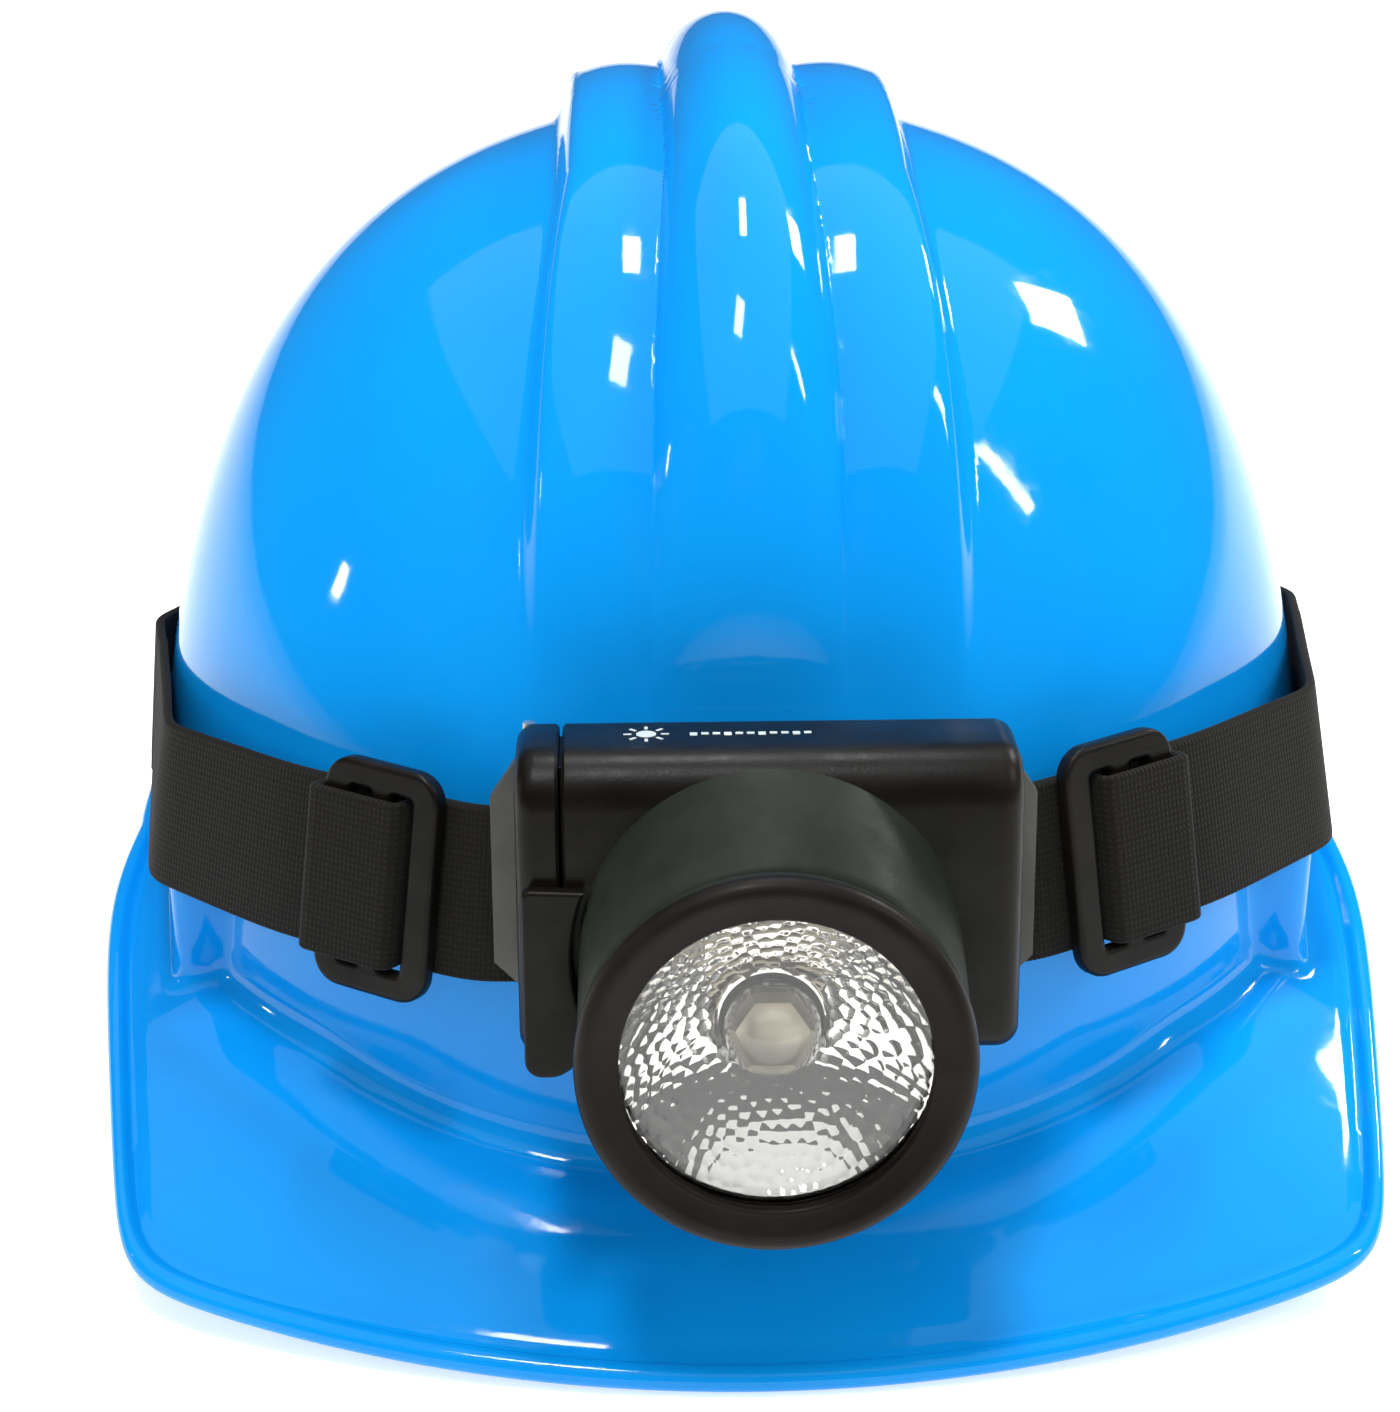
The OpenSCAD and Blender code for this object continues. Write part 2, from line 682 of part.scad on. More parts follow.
module lamp_hood() {
    color(charcoal) in_lamp() difference() {
        hull() {
            along_beam(hood_front - 0.2) cylinder(r = hood_r, h = 0.2, $fn = 64);
            translate([0, 0, hood_rise]) along_beam(body_front) cylinder(r = hood_back_r, h = 0.2, $fn = 64);
            along_beam(body_front + 1.5) cylinder(r = hood_back_r - 1, h = 0.2, $fn = 64);
        }
        along_beam(body_front + 2) cylinder(r = sleeve_r - 0.9, h = 20);
        along_beam(body_front + 4.4) cylinder(r = sleeve_r + 0.3, h = 20);
        along_beam(body_front - 1) cylinder(r = socket_r + 0.1, h = 5);
        for (x = [-14, 14]) translate([x, 0, axis_drop - 6]) along_beam(body_front - 1)
            cylinder(r = 1.2, h = 5);
    }
}

module hood_screws() {
    // Two screws hold the hood to the body from inside
    color(steel) in_lamp() for (x = [-14, 14]) translate([x, 0, axis_drop - 6]) {
        along_beam(body_front + 2.1) cylinder(r = 2.1, h = 1.4);
        along_beam(body_front + 0.1) cylinder(r = 1.15, h = 2.1);
    }
}

module battery_door() {
    hinge = [body_left - door_gap - door_w + 2.4, -body_back - 1.9];
    color(black) in_lamp() difference() {
        union() {
            along_body(-body_w / 2, body_left - door_gap) body_outline();
            // Boss of the latch's pin
            translate([latch_at[0], -body_front + 0.1, latch_at[1]]) rotate([90, 0, 0])
                cylinder(r = 2.4, h = 0.4);
        }
        translate([hinge[0], hinge[1], -body_h / 2 - 1]) cylinder(r = 1.05, h = body_h + 2);
        translate([latch_at[0], -body_front + 6, latch_at[1]]) rotate([90, 0, 0]) cylinder(r = 1, h = 8);
    }
}

module door_pin() {
    hinge = [body_left - door_gap - door_w + 2.4, -body_back - 1.9];
    color(steel) in_lamp() translate([hinge[0], hinge[1], -body_h / 2 + 0.2])
        cylinder(r = 1, h = body_h - 0.4);
}

module door_seal() {
    // Plug with a lip that fills the mouth of the battery compartment
    seal_h = body_h - 2 * case_wall - 0.8;
    color(rubber) in_lamp() difference() {
        translate([body_left - door_gap, -body_front + 5, -seal_h / 2]) cube([2.2, body_d - 7.2, seal_h]);
        translate([body_left - door_gap - 1, -body_front + 6.4, -seal_h / 2 + 1.4])
            cube([5, body_d - 10, seal_h - 2.8]);
    }
}

module door_latch() {
    // Tongue across the joint between door and body, hollowed beside the hood
    left = -body_w / 2 + 0.9;
    foot_r = 5;
    color(black) in_lamp() translate([0, -body_front - 0.5, 0]) rotate([90, 0, 0]) difference() {
        linear_extrude(height = latch_t) difference() {
            hull() {
                translate(latch_at) intersection() {
                    circle(foot_r);
                    translate([0, -foot_r]) square([foot_r, foot_r]);
                }
                translate([left + 2.6, latch_at[1] - foot_r + 2.6]) circle(2.6);
                translate([left + 1.4, latch_top - 1.4]) circle(1.4);
                translate([left, latch_top - 2]) square([10, 1]);
            }
            translate([0, hood_rise - axis_drop]) circle(hood_back_r + 0.9, $fn = 96);
        }
        translate([latch_at[0], latch_at[1], -1]) cylinder(r = 1.06, h = latch_t);
    }
}

module latch_pin() {
    color(steel) in_lamp() translate([latch_at[0], -body_front + 5.5, latch_at[1]]) rotate([90, 0, 0])
        cylinder(r = 1, h = 7.4);
}

battery_r = 7.1;
battery_l = 50.5;
battery_x = body_left + 4.6;
battery_y = -(body_back + 1.9 + 7.5);
battery_pitch = 2 * battery_r + 0.1;

// An AA cell with its positive pip
module battery(row, flip) {
    centre = battery_x + battery_l / 2;
    color("#c49b3a") in_lamp() translate([centre, battery_y, row * battery_pitch])
        rotate([0, flip ? -90 : 90, 0]) translate([0, 0, -battery_l / 2]) {
            cylinder(r = battery_r, h = battery_l - 1.2);
            cylinder(r = 2.7, h = battery_l);
        }
}

module battery_top() {
    battery(1, false);
}

module battery_middle() {
    battery(0, true);
}

module battery_bottom() {
    battery(-1, false);
}

module contact_springs() {
    // Three conical springs on the door press on the cells
    color(steel) in_lamp() for (row = [-1:1]) translate([body_left - door_gap + 0.1, battery_y,
        row * battery_pitch]) rotate([0, 90, 0]) {
            cylinder(r = 4.6, h = 0.4);
            for (k = [0:3]) translate([0, 0, 0.8 + 0.95 * k]) rotate_extrude()
                translate([4.2 - 0.6 * k, 0]) circle(0.5, $fn = 16);
        }
}

module contact_plate() {
    color(steel) in_lamp() translate([battery_x + battery_l + 0.2, battery_y - 6, -body_h / 2 + 4])
        cube([0.8, 12, body_h - 8]);
}

module bulb_socket() {
    color("#e6e0cc") in_lamp() difference() {
        along_beam(body_front - 4) cylinder(r = socket_r, h = 6);
        along_beam(body_front - 2.5) cylinder(r = 4.7, h = 8);
    }
}

module bulb_base() {
    color(steel) in_lamp() {
        along_beam(body_front - 2.4) cylinder(r = 4.6, h = 5.2);
        along_beam(body_front + 2.8) cylinder(r = 3.6, h = 1.4);
    }
}

module bulb_glass() {
    color("#e8eef0", 0.5) in_lamp() along_beam(body_front + 4.2) {
        cylinder(r = 7.2, h = 1.6);
        translate([0, 0, 1.6]) intersection() {
            sphere(r = 7.2);
            translate([-8, -8, 0]) cube([16, 16, 5.6]);
        }
    }
}

lens_front = lip_reach - 3.9;
lens_t = 2;
reflector_front = lens_front - lens_t - 1.4;
reflector_apex = body_front + 3.4;
bowl_r = 24.2;
neck_r = 7.8;

function bowl_depth(r) = reflector_front - (reflector_front - reflector_apex)
    * (1 - (r * r - neck_r * neck_r) / (bowl_r * bowl_r - neck_r * neck_r));

module reflector() {
    steps = 12;
    radii = [for (k = [0:steps]) neck_r + (bowl_r - 0.8 - neck_r) * k / steps];
    color("#d9d9d4") in_lamp() along_beam(0) rotate_extrude()
        polygon(concat([for (r = radii) [r, bowl_depth(r)]], [[lens_r - 0.1, reflector_front - 0.9]],
            [[lens_r - 0.1, reflector_front - 1.7]],
            [for (k = [steps:-1:0]) [radii[k] + 0.8, bowl_depth(radii[k]) - 0.9]]));
}

module lens_seal() {
    color(rubber) in_lamp() along_beam(lens_front - lens_t - 0.7) rotate_extrude()
        translate([24.3, 0]) circle(0.6, $fn = 16);
}

module lens() {
    color("#eef4f6", 0.35) in_lamp() along_beam(lens_front - lens_t) cylinder(r = lens_r, h = lens_t);
}

module focus_bezel() {
    // Flange in front of the hood and a sleeve that turns inside it
    flange = hood_front + 0.4;
    color(black) in_lamp() difference() {
        union() {
            along_beam(flange) cylinder(r = lip_r, h = lip_reach - 3 - flange);
            along_beam(body_front + 5) cylinder(r = sleeve_r, h = flange - body_front - 5 + 1);
        }
        along_beam(body_front) cylinder(r = bezel_bore, h = lip_reach);
    }
}

module bezel_lip() {
    // Rubber lip with a rounded outer edge and a stepped throat
    edge = 2.4;
    color(rubber) in_lamp() along_beam(lip_reach - 2.95) rotate_extrude() difference() {
        union() {
            translate([window_r, 0]) square([lip_r - window_r - edge, 2.95]);
            translate([window_r, 0]) square([lip_r - window_r, 2.95 - edge]);
            translate([lip_r - edge, 2.95 - edge]) circle(edge);
        }
        translate([0, -5]) square([40, 5]);
    }
}

shell_crown();
shell_wall();
shell_brim();
headband();
brow_pad();
suspension_keys();
crown_strap_long();
crown_strap_cross();
crown_pad();
ratchet_housing();
ratchet_knob();
ratchet_pinion();
rack_left();
rack_right();
nape_pad();
strap_front();
strap_rear();
buckle_left();
buckle_right();
strap_fold_left();
strap_fold_right();
back_plate();
tilt_pins();
lamp_body();
lamp_hood();
hood_screws();
battery_door();
door_seal();
door_pin();
door_latch();
latch_pin();
battery_top();
battery_middle();
battery_bottom();
contact_springs();
contact_plate();
bulb_socket();
bulb_base();
bulb_glass();
reflector();
lens();
lens_seal();
focus_bezel();
bezel_lip();
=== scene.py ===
"""Looks of the miner's cap lamp: a ridged hard hat and a lamp on a strap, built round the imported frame."""

import json
import math

import bmesh
import bpy
import numpy as np
from mathutils import Matrix, Vector


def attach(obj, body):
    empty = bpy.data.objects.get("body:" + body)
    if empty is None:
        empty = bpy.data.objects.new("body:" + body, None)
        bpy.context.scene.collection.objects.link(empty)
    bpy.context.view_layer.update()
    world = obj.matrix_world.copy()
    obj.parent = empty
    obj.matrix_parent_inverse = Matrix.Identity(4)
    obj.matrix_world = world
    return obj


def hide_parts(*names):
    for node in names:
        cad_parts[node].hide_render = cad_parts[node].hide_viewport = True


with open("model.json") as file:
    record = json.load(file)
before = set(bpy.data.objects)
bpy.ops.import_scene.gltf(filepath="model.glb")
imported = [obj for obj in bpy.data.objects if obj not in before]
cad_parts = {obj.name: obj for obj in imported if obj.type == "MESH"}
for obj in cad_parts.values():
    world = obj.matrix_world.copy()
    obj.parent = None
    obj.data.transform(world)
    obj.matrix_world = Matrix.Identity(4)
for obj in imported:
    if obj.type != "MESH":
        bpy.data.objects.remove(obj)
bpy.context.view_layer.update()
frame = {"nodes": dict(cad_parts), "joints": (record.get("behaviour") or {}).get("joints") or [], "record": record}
mounts = {mount["name"]: mount for mount in frame["record"]["mounts"]}
joints = {joint["name"]: joint for joint in frame["joints"]}

# ---------- Hat, in millimetres, as in the frame ----------
# Dome: half its width, its reach in front and behind, its height
DOME_HALF, DOME_FRONT, DOME_BACK, DOME_HEIGHT = 107.8, 113.4, 116.8, 157.7
# Powers that shape the dome from the side, and in plan at its foot and its crown
PROFILE_POWER, PLAN_POWER_FOOT, PLAN_POWER_CROWN = 2.63, 2.25, 1.9
# Thickness of the moulding
WALL = 2.6
# Middle ridge and outer ridges: height and half width of each
RIDGE_RISE, RIDGE_HALF, FLANK_RISE, FLANK_HALF = 9.5, 11.2, 8.0, 30.5
# Heights between which the ridges grow out of the dome
RIDGE_FADE_LOW, RIDGE_FADE_HIGH = 78.0, 146.0
# Peak: its reach, the radius of its front edge, its slope, and the distance and taper of its sides
PEAK_REACH, PEAK_RADIUS, PEAK_SLOPE = 154.5, 241.0, math.radians(18)
SIDE_DISTANCE, SIDE_TAPER, REAR_SIDE_DISTANCE = 120.4, math.radians(8.5), 110.3
# Rim behind the peak, and the bead rolled along the whole edge
RIM_WIDTH, BEAD_R = 5.5, 2.1
# Top of the edge's arch over the ears
ARCH_Z, ARCH_Y = 27.0, 20.0
# Side pads under the strap: front end, distance from the middle, taper, top
PAD_FRONT, PAD_DISTANCE, PAD_TAPER, PAD_TOP = -68.0, 106.8, math.radians(7.8), 56.0
# Headband: half its width, its reach in front and behind, its height, thickness and lower edge
BAND_HALF, BAND_REACH, BAND_BACK, BAND_H, BAND_T, BAND_Z = 79.0, 97.0, 91.0, 30.0, 1.8, 8.0
# Webbing over the head
HEAD_STRAP_W, HEAD_STRAP_T = 19.0, 1.2

# ---------- Lamp strap, in millimetres ----------
# Webbing: width, thickness, gap to the shell, rise per millimetre from left to right
STRAP_W, STRAP_T, STRAP_GAP, STRAP_ROLL = 28.0, 1.8, 0.6, 0.025
# Its lower edge in front and behind, its distance in front, and how its height falls from front to back
STRAP_FRONT_Z, STRAP_BACK_Z, STRAP_FRONT_Y, STRAP_DROP_POWER = 52.3, 26.0, 113.5, 0.85
# Straight runs in front: direction in degrees and distance of each
STRAP_LINES = [(-90, STRAP_FRONT_Y), (-59.56, 120.15), (-43.8, 120.6), (-7.6, 109.3)]
# Buckles: direction, width, height, thickness, shift along the run
BUCKLE_ANGLE = math.radians(-59.56)
BUCKLE_W, BUCKLE_H, BUCKLE_T, BUCKLE_SHIFT = 21.5, 38.0, 3.2, -2.2
# Their slots: width, and distance from the buckle's middle
SLOT_W, SLOT_X = 4.0, 3.8

# ---------- Lamp, in its own millimetres: -Y along the beam, from the back of the plate ----------
# Case: width, height, depth, back, corner radii seen from its end
BODY_W, BODY_H, BODY_D, BODY_BACK, CASE_CORNERS = 75.0, 47.0, 21.5, 3.5, (4.0, 8.0, 4.0, 4.0)
# Battery door: width, gap to the case
DOOR_W, DOOR_GAP = 7.0, 0.5
BODY_FRONT = BODY_BACK + BODY_D
BODY_LEFT, BODY_RIGHT = -BODY_W / 2 + DOOR_W, BODY_W / 2
# Battery compartment: depth and middle
CAVITY_D, CAVITY_Y = 15.4, -12.9
# Ears under the case: left sides, thickness, middle and radius
EAR_LEFTS, EAR_T, EAR_Y, EAR_Z, EAR_R = (-23.7, 20.2), 3.5, -5.4, -BODY_H / 2 - 2.8, 2.6
# Latch on the door: middle of its foot, top, thickness
LATCH_X, LATCH_Z, LATCH_TOP, LATCH_T = -BODY_W / 2 + 4.4, -20.0, 4.8, 2.8
# Lens axis below the case's middle, and the bezel's joint in front of the plate
AXIS_DROP, TWIST_REACH = 15.8, 40.0
# Rubber lip: front, radius, radius of its opening
LIP_REACH, LIP_R, WINDOW_R = 47.0, 29.1, 22.6
# Hood: front, radius in front and behind, how far its upper edge climbs
HOOD_FRONT, HOOD_R, HOOD_BACK_R, HOOD_RISE = LIP_REACH - 5.4, 28.7, 28.4, 9.6
# Bezel sleeve, lens, and the reflector's neck and bowl
SLEEVE_R, BEZEL_BORE, LENS_R, NECK_R, BOWL_R = 26.2, 25.4, 25.0, 7.8, 24.2
LENS_FRONT, LENS_T, BULB_FOOT = LIP_REACH - 3.9, 2.0, BODY_FRONT + 4.2
REFLECTOR_FRONT, REFLECTOR_APEX = LENS_FRONT - LENS_T - 1.4, BODY_FRONT + 3.4
# Printed mark on the case's top
MARK_X, MARK_Y = -18, -12.5

# ---------- Camera and lights, in metres, degrees and watts ----------
# Camera: focal length in millimetres, place from the dome's centre, turn, downward tilt and roll
CAMERA_LENS, CAMERA_PLACE = 78.5, (-0.0177, -0.535, 0.2963)
CAMERA_TURN, CAMERA_TILT, CAMERA_ROLL = -1.28, 25.1, -0.16
# What the lights look at
LIGHT_TARGET = (0, 0, 0.07)
# Room light and the floor's own glow
ROOM_STRENGTH, FLOOR_GLOW = 0.08, 0.55
# Small bright panels that show as window-like glints: name, azimuth, elevation, width, height, watts
PANEL_DISTANCE = 1.5
PANELS = (
    ("ceiling_front", -22, 71, 0.22, 0.34, 10.0),
    ("ceiling_back", 178, 74, 0.16, 0.3, 6.5),
    ("right_window", 126, 33, 0.24, 0.26, 8.0),
    ("right_front_window", 76, 36, 0.08, 0.34, 4.0),
    ("left_window", -92, 12, 0.06, 0.1, 0.9),
)

HAT = Matrix.Translation(Vector((0, mounts["head"]["pos_m"][1], 0))) @ Matrix.Scale(0.001, 4)


def lamp_frame():
    """Matrix from the lamp's own millimetres to the row frame, from the joint that the bezel twists on."""
    twist = joints["bezel_twist"]
    back = -Vector(twist["axis"]).normalized()
    side = Vector((1, 0, 0))
    turn = Matrix((side, back, side.cross(back))).transposed().to_4x4()
    to_plate = Matrix.Translation(Vector((0, TWIST_REACH, AXIS_DROP)))
    return Matrix.Translation(Vector(twist["pos_m"])) @ turn @ Matrix.Scale(0.001, 4) @ to_plate


LAMP = lamp_frame()


# ---------- Mesh helpers ----------
def finish_mesh(obj, place, sharp):
    """Moves a new mesh to its place, welds it, turns its normals out and smooths edges below an angle."""
    mesh = obj.data
    mesh.transform(place)
    work = bmesh.new()
    work.from_mesh(mesh)
    bmesh.ops.remove_doubles(work, verts=work.verts, dist=1e-6)
    bmesh.ops.recalc_face_normals(work, faces=work.faces)
    work.to_mesh(mesh)
    work.free()
    mesh.shade_smooth()
    mesh.set_sharp_from_angle(angle=math.radians(sharp))
    return obj


def lattice(name, rings, place=HAT, closed_rows=False, uv=None, sharp=35):
    """A mesh over rings[row][column], closed round its columns; uv holds both directions' coordinates."""
    rings = np.asarray(rings, float)
    rows, cols = rings.shape[:2]
    quads_down = rows if closed_rows else rows - 1
    r, c = np.meshgrid(np.arange(quads_down), np.arange(cols), indexing="ij")
    r, c = r.ravel(), c.ravel()
    corners = [(r, c), (r + 1, c), (r + 1, c + 1), (r, c + 1)]
    faces = np.stack([(a % rows) * cols + b % cols for a, b in corners], axis=1)
    mesh = bpy.data.meshes.new(name)
    mesh.from_pydata(rings.reshape(-1, 3).tolist(), [], faces.tolist())
    if uv is not None:
        along, across = (np.asarray(values, float) for values in uv)
        pairs = np.stack([np.stack([along[a], across[b]], axis=1) for a, b in corners], axis=1)
        mesh.uv_layers.new(name="UVMap").data.foreach_set("uv", pairs.astype(np.float32).ravel())
    obj = bpy.data.objects.new(name, mesh)
    bpy.context.scene.collection.objects.link(obj)
    return finish_mesh(obj, place, sharp)


def revolve(name, profile, segments=160, sharp=35):
    """Turns a profile of (radius, distance along the beam) round the lens axis."""
    turn = np.linspace(0, 2 * math.pi, segments, endpoint=False)
    rings = [
        np.stack([r * np.cos(turn), np.full(segments, -float(h)), r * np.sin(turn) - AXIS_DROP], axis=1)
        for r, h in profile
    ]
    return lattice(name, rings, LAMP, sharp=sharp)


def arc(centre, radius, start, stop, steps):
    """Points on a circle, in degrees."""
    angles = np.radians(np.linspace(start, stop, steps))
    return [(centre[0] + radius * math.cos(a), centre[1] + radius * math.sin(a)) for a in angles]


def round_ring(width, height, radius, steps=8):
    """A rounded rectangle round the origin; radius is one number or the four corners' radii."""
    ring = []
    radii = radius if isinstance(radius, tuple) else (radius,) * 4
    for (sx, sy, start), r in zip(((1, 1, 0), (-1, 1, 90), (-1, -1, 180), (1, -1, 270)), radii):
        centre = (sx * (width / 2 - r), sy * (height / 2 - r))
        ring += arc(centre, r, start, start + 90, steps)
    return np.array(ring)


def slab(name, outlines, thickness, bevel, place):
    """A flat plate over outlines in its XY plane, with rounded edges; an outline within another is a hole."""
    curve = bpy.data.curves.new(name + ".outline", "CURVE")
    curve.dimensions, curve.fill_mode = "2D", "BOTH"
    curve.extrude = thickness / 2 - bevel
    curve.bevel_depth, curve.bevel_resolution, curve.offset = bevel, 3, -bevel
    for outline in outlines:
        spline = curve.splines.new("POLY")
        spline.points.add(len(outline) - 1)
        for point, (x, y) in zip(spline.points, outline):
            point.co = (x, y, 0, 1)
        spline.use_cyclic_u = True
    holder = bpy.data.objects.new(name + ".holder", curve)
    bpy.context.scene.collection.objects.link(holder)
    bpy.context.view_layer.update()
    solid = holder.evaluated_get(bpy.context.evaluated_depsgraph_get())
    mesh = bpy.data.meshes.new_from_object(solid)
    bpy.data.objects.remove(holder)
    obj = bpy.data.objects.new(name, mesh)
    mesh.name = name
    bpy.context.scene.collection.objects.link(obj)
    finish_mesh(obj, place, 50)
    obj.modifiers.new("even_shading", "WEIGHTED_NORMAL").keep_sharp = True
    return obj


def ribbon(name, centres, normals, widths, width, thickness, place=HAT):
    """Webbing along centres: normals point out of its face, widths run across it."""
    centres, normals, widths = (np.asarray(v, float) for v in (centres, normals, widths))
    section = round_ring(width, thickness, 0.42 * thickness, 5)
    rings = centres[:, None] + widths[:, None] * section[None, :, :1]
    rings = rings + normals[:, None] * section[None, :, 1:]
    along = np.concatenate([[0], np.cumsum(np.linalg.norm(np.diff(centres, axis=0), axis=1))]) / 1000
    around = np.concatenate([section[:, 0], section[:1, 0]]) / 1000
    middle = centres[[0, -1], None].repeat(section.shape[0], axis=1)
    rings = np.concatenate([middle[:1], rings, middle[1:]])
    along = np.concatenate([along[:1], along, along[-1:]])
    return lattice(name, rings, place, uv=(along, around), sharp=50)


def rounded_path(points, radius, steps=7):
    """A 2-D path whose inner corners are rounded."""
    points = [np.array(p, float) for p in points]
    path = [points[0]]
    for before, corner, after in zip(points, points[1:], points[2:]):
        a = corner + (before - corner) / np.linalg.norm(before - corner) * radius
        b = corner + (after - corner) / np.linalg.norm(after - corner) * radius
        for q in np.linspace(0, 1, steps):
            path.append((1 - q) ** 2 * a + 2 * q * (1 - q) * corner + q * q * b)
    return np.array(path + [points[-1]])


def give(obj, body, finish, slot, *nodes):
    """Puts a finished piece on its body, with its material, in place of its CAD nodes."""
    obj.data.materials.clear()
    obj.data.materials.append(finish)
    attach(obj, body)
    if nodes:
        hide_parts(*nodes)
    return obj


def keep(node, finish, bevel=0.0):
    """Gives a CAD node its material and, where it shows, softly rounded edges."""
    obj = frame["nodes"][node]
    obj.data.materials.clear()
    obj.data.materials.append(finish)
    for polygon in obj.data.polygons:
        polygon.material_index = 0
    weld = obj.modifiers.new("weld", "WELD")
    weld.merge_threshold = 1e-6
    if bevel:
        edge = obj.modifiers.new("edges", "BEVEL")
        edge.width, edge.segments = bevel / 1000, 2
        edge.limit_method, edge.angle_limit = "ANGLE", math.radians(35)
        edge.harden_normals = True
    return obj


# ---------- Materials ----------
def material(name, color, roughness, **sockets):
    """A Principled material; sockets are its other inputs by name, with spaces as underscores."""
    made = bpy.data.materials.new(name)
    made.use_nodes = True
    shader = made.node_tree.nodes["Principled BSDF"]
    shader.inputs["Base Color"].default_value = (*color, 1)
    shader.inputs["Roughness"].default_value = roughness
    for socket, value in sockets.items():
        shader.inputs[socket.replace("_", " ")].default_value = value
    made.diffuse_color = (*color, 1)
    return made


def add_node(made, kind, inputs=None, **settings):
    """Adds a node; inputs are numbers, colours or other nodes' outputs."""
    new = made.node_tree.nodes.new("ShaderNode" + kind)
    for key, value in settings.items():
        setattr(new, key, value)
    for key, value in (inputs or {}).items():
        if isinstance(value, bpy.types.NodeSocket):
            made.node_tree.links.new(value, new.inputs[key])
        else:
            new.inputs[key].default_value = value
    return new


def to_shader(made, socket, output):
    """Links an output to a socket of the material's shader."""
    made.node_tree.links.new(output, made.node_tree.nodes["Principled BSDF"].inputs[socket])


def coordinates(made, kind="Object"):
    """Coordinates on the piece, so that a pattern moves with it."""
    return add_node(made, "TexCoord").outputs[kind]


def noise(made, vector, scale, detail=2.0, roughness=0.5):
    """Noise pattern, about 0.3 to 0.7."""
    inputs = {"Vector": vector, "Scale": scale, "Detail": detail, "Roughness": roughness}
    return add_node(made, "TexNoise", inputs).outputs["Fac"]


def spread(made, value, low, high, from_low=0.3, from_high=0.7):
    """Maps a pattern's value to a range."""
    inputs = {"Value": value, "From Min": from_low, "From Max": from_high, "To Min": low, "To Max": high}
    return add_node(made, "MapRange", inputs).outputs["Result"]


def mix_colors(made, factor, first, second):
    """Blends from the first colour to the second."""
    inputs = {0: factor, 6: (*first, 1), 7: (*second, 1)}
    return add_node(made, "Mix", inputs, data_type="RGBA").outputs[2]


def bump(made, height, depth, strength=1.0, normal=None):
    """Surface relief of a depth in metres, on top of another relief if there is one."""
    inputs = {"Height": height, "Distance": depth, "Strength": strength}
    if normal is not None:
        inputs["Normal"] = normal
    return add_node(made, "Bump", inputs).outputs["Normal"]


def moulded(name, color, roughness, grain=1500.0, depth=0.00004, **sockets):
    """Moulded plastic or rubber: fine spark-eroded grain, uneven sheen and paler rubbed patches."""
    made = material(name, color, roughness, **sockets)
    place = coordinates(made)
    patches = spread(made, noise(made, place, 45.0, 4.0, 0.6), 0, 1, 0.42, 0.78)
    pale = tuple(min(1, 1.7 * c + 0.004) for c in color)
    to_shader(made, "Base Color", mix_colors(made, patches, color, pale))
    sheen = noise(made, place, 160.0, 5.0)
    to_shader(made, "Roughness", spread(made, sheen, roughness - 0.06, roughness + 0.08))
    to_shader(made, "Normal", bump(made, noise(made, place, grain, 2.0), depth, 0.7))
    return made


def shell_plastic():
    """Glossy azure shell: faint flow marks in the colour, soft orange peel, fine scuffs in the gloss."""
    deep, bright = (0.002, 0.26, 0.74), (0.003, 0.30, 0.81)
    made = material("shell_blue", bright, 0.1, IOR=1.46, Specular_IOR_Level=0.28)
    place = coordinates(made)
    flow = spread(made, noise(made, place, 14.0, 3.0), 0, 1)
    to_shader(made, "Base Color", mix_colors(made, flow, deep, bright))
    scuffs = noise(made, place, 220.0, 8.0, 0.75)
    to_shader(made, "Roughness", spread(made, scuffs, 0.05, 0.2, 0.5, 0.85))
    wave = bump(made, noise(made, place, 38.0, 1.0), 0.0004, 0.25)
    to_shader(made, "Normal", bump(made, noise(made, place, 420.0, 1.0), 0.00002, 0.35, wave))
    return made


def woven(name, color, lit_yarn_color, rib=0.0011, pitch=0.0014, depth=0.00025):
    """Webbing: ribs across and yarns along, from the strip's own coordinates, with fuzz between them; the base
    colour carries painted shade, darker in the gaps between yarns and paler on their crests.
    """
    made = material(name, color, 0.85, Sheen_Weight=0.03, Sheen_Roughness=0.6, Specular_IOR_Level=0.15)
    strip = coordinates(made, "UV")
    wave = 2 * math.pi / 20
    ribs = {"Vector": strip, "Scale": wave / rib, "Distortion": 0.4}
    yarns = {"Vector": strip, "Scale": wave / pitch, "Distortion": 0.3}
    across = add_node(made, "TexWave", ribs, bands_direction="X")
    along = add_node(made, "TexWave", yarns, bands_direction="Y")
    crossing = {0: across.outputs["Fac"], 1: along.outputs["Fac"]}
    yarn = add_node(made, "Math", crossing, operation="MULTIPLY")
    fuzz = noise(made, coordinates(made), 2600.0, 3.0)
    shade = add_node(made, "Math", {0: yarn.outputs[0], 1: fuzz}, operation="MULTIPLY")
    lit = spread(made, shade.outputs[0], 0, 1, 0.1, 0.6)
    # Painted shade: the base colour is darker in the gaps between yarns and paler on the yarn crests, following
    # the same pattern as the bump below
    to_shader(made, "Base Color", mix_colors(made, lit, color, lit_yarn_color))
    to_shader(made, "Normal", bump(made, yarn.outputs[0], depth, 0.6))
    return made


def foam_cloth():
    """Knitted sweatband cloth over foam."""
    made = material("pad_foam", (0.02, 0.02, 0.022), 0.9, Sheen_Weight=0.4, Sheen_Roughness=0.5)
    place = coordinates(made)
    cells = add_node(made, "TexVoronoi", {"Vector": place, "Scale": 900.0}).outputs["Distance"]
    to_shader(made, "Base Color", mix_colors(made, cells, (0.03, 0.03, 0.033), (0.008, 0.008, 0.009)))
    to_shader(made, "Normal", bump(made, cells, 0.0003, 0.6))
    return made


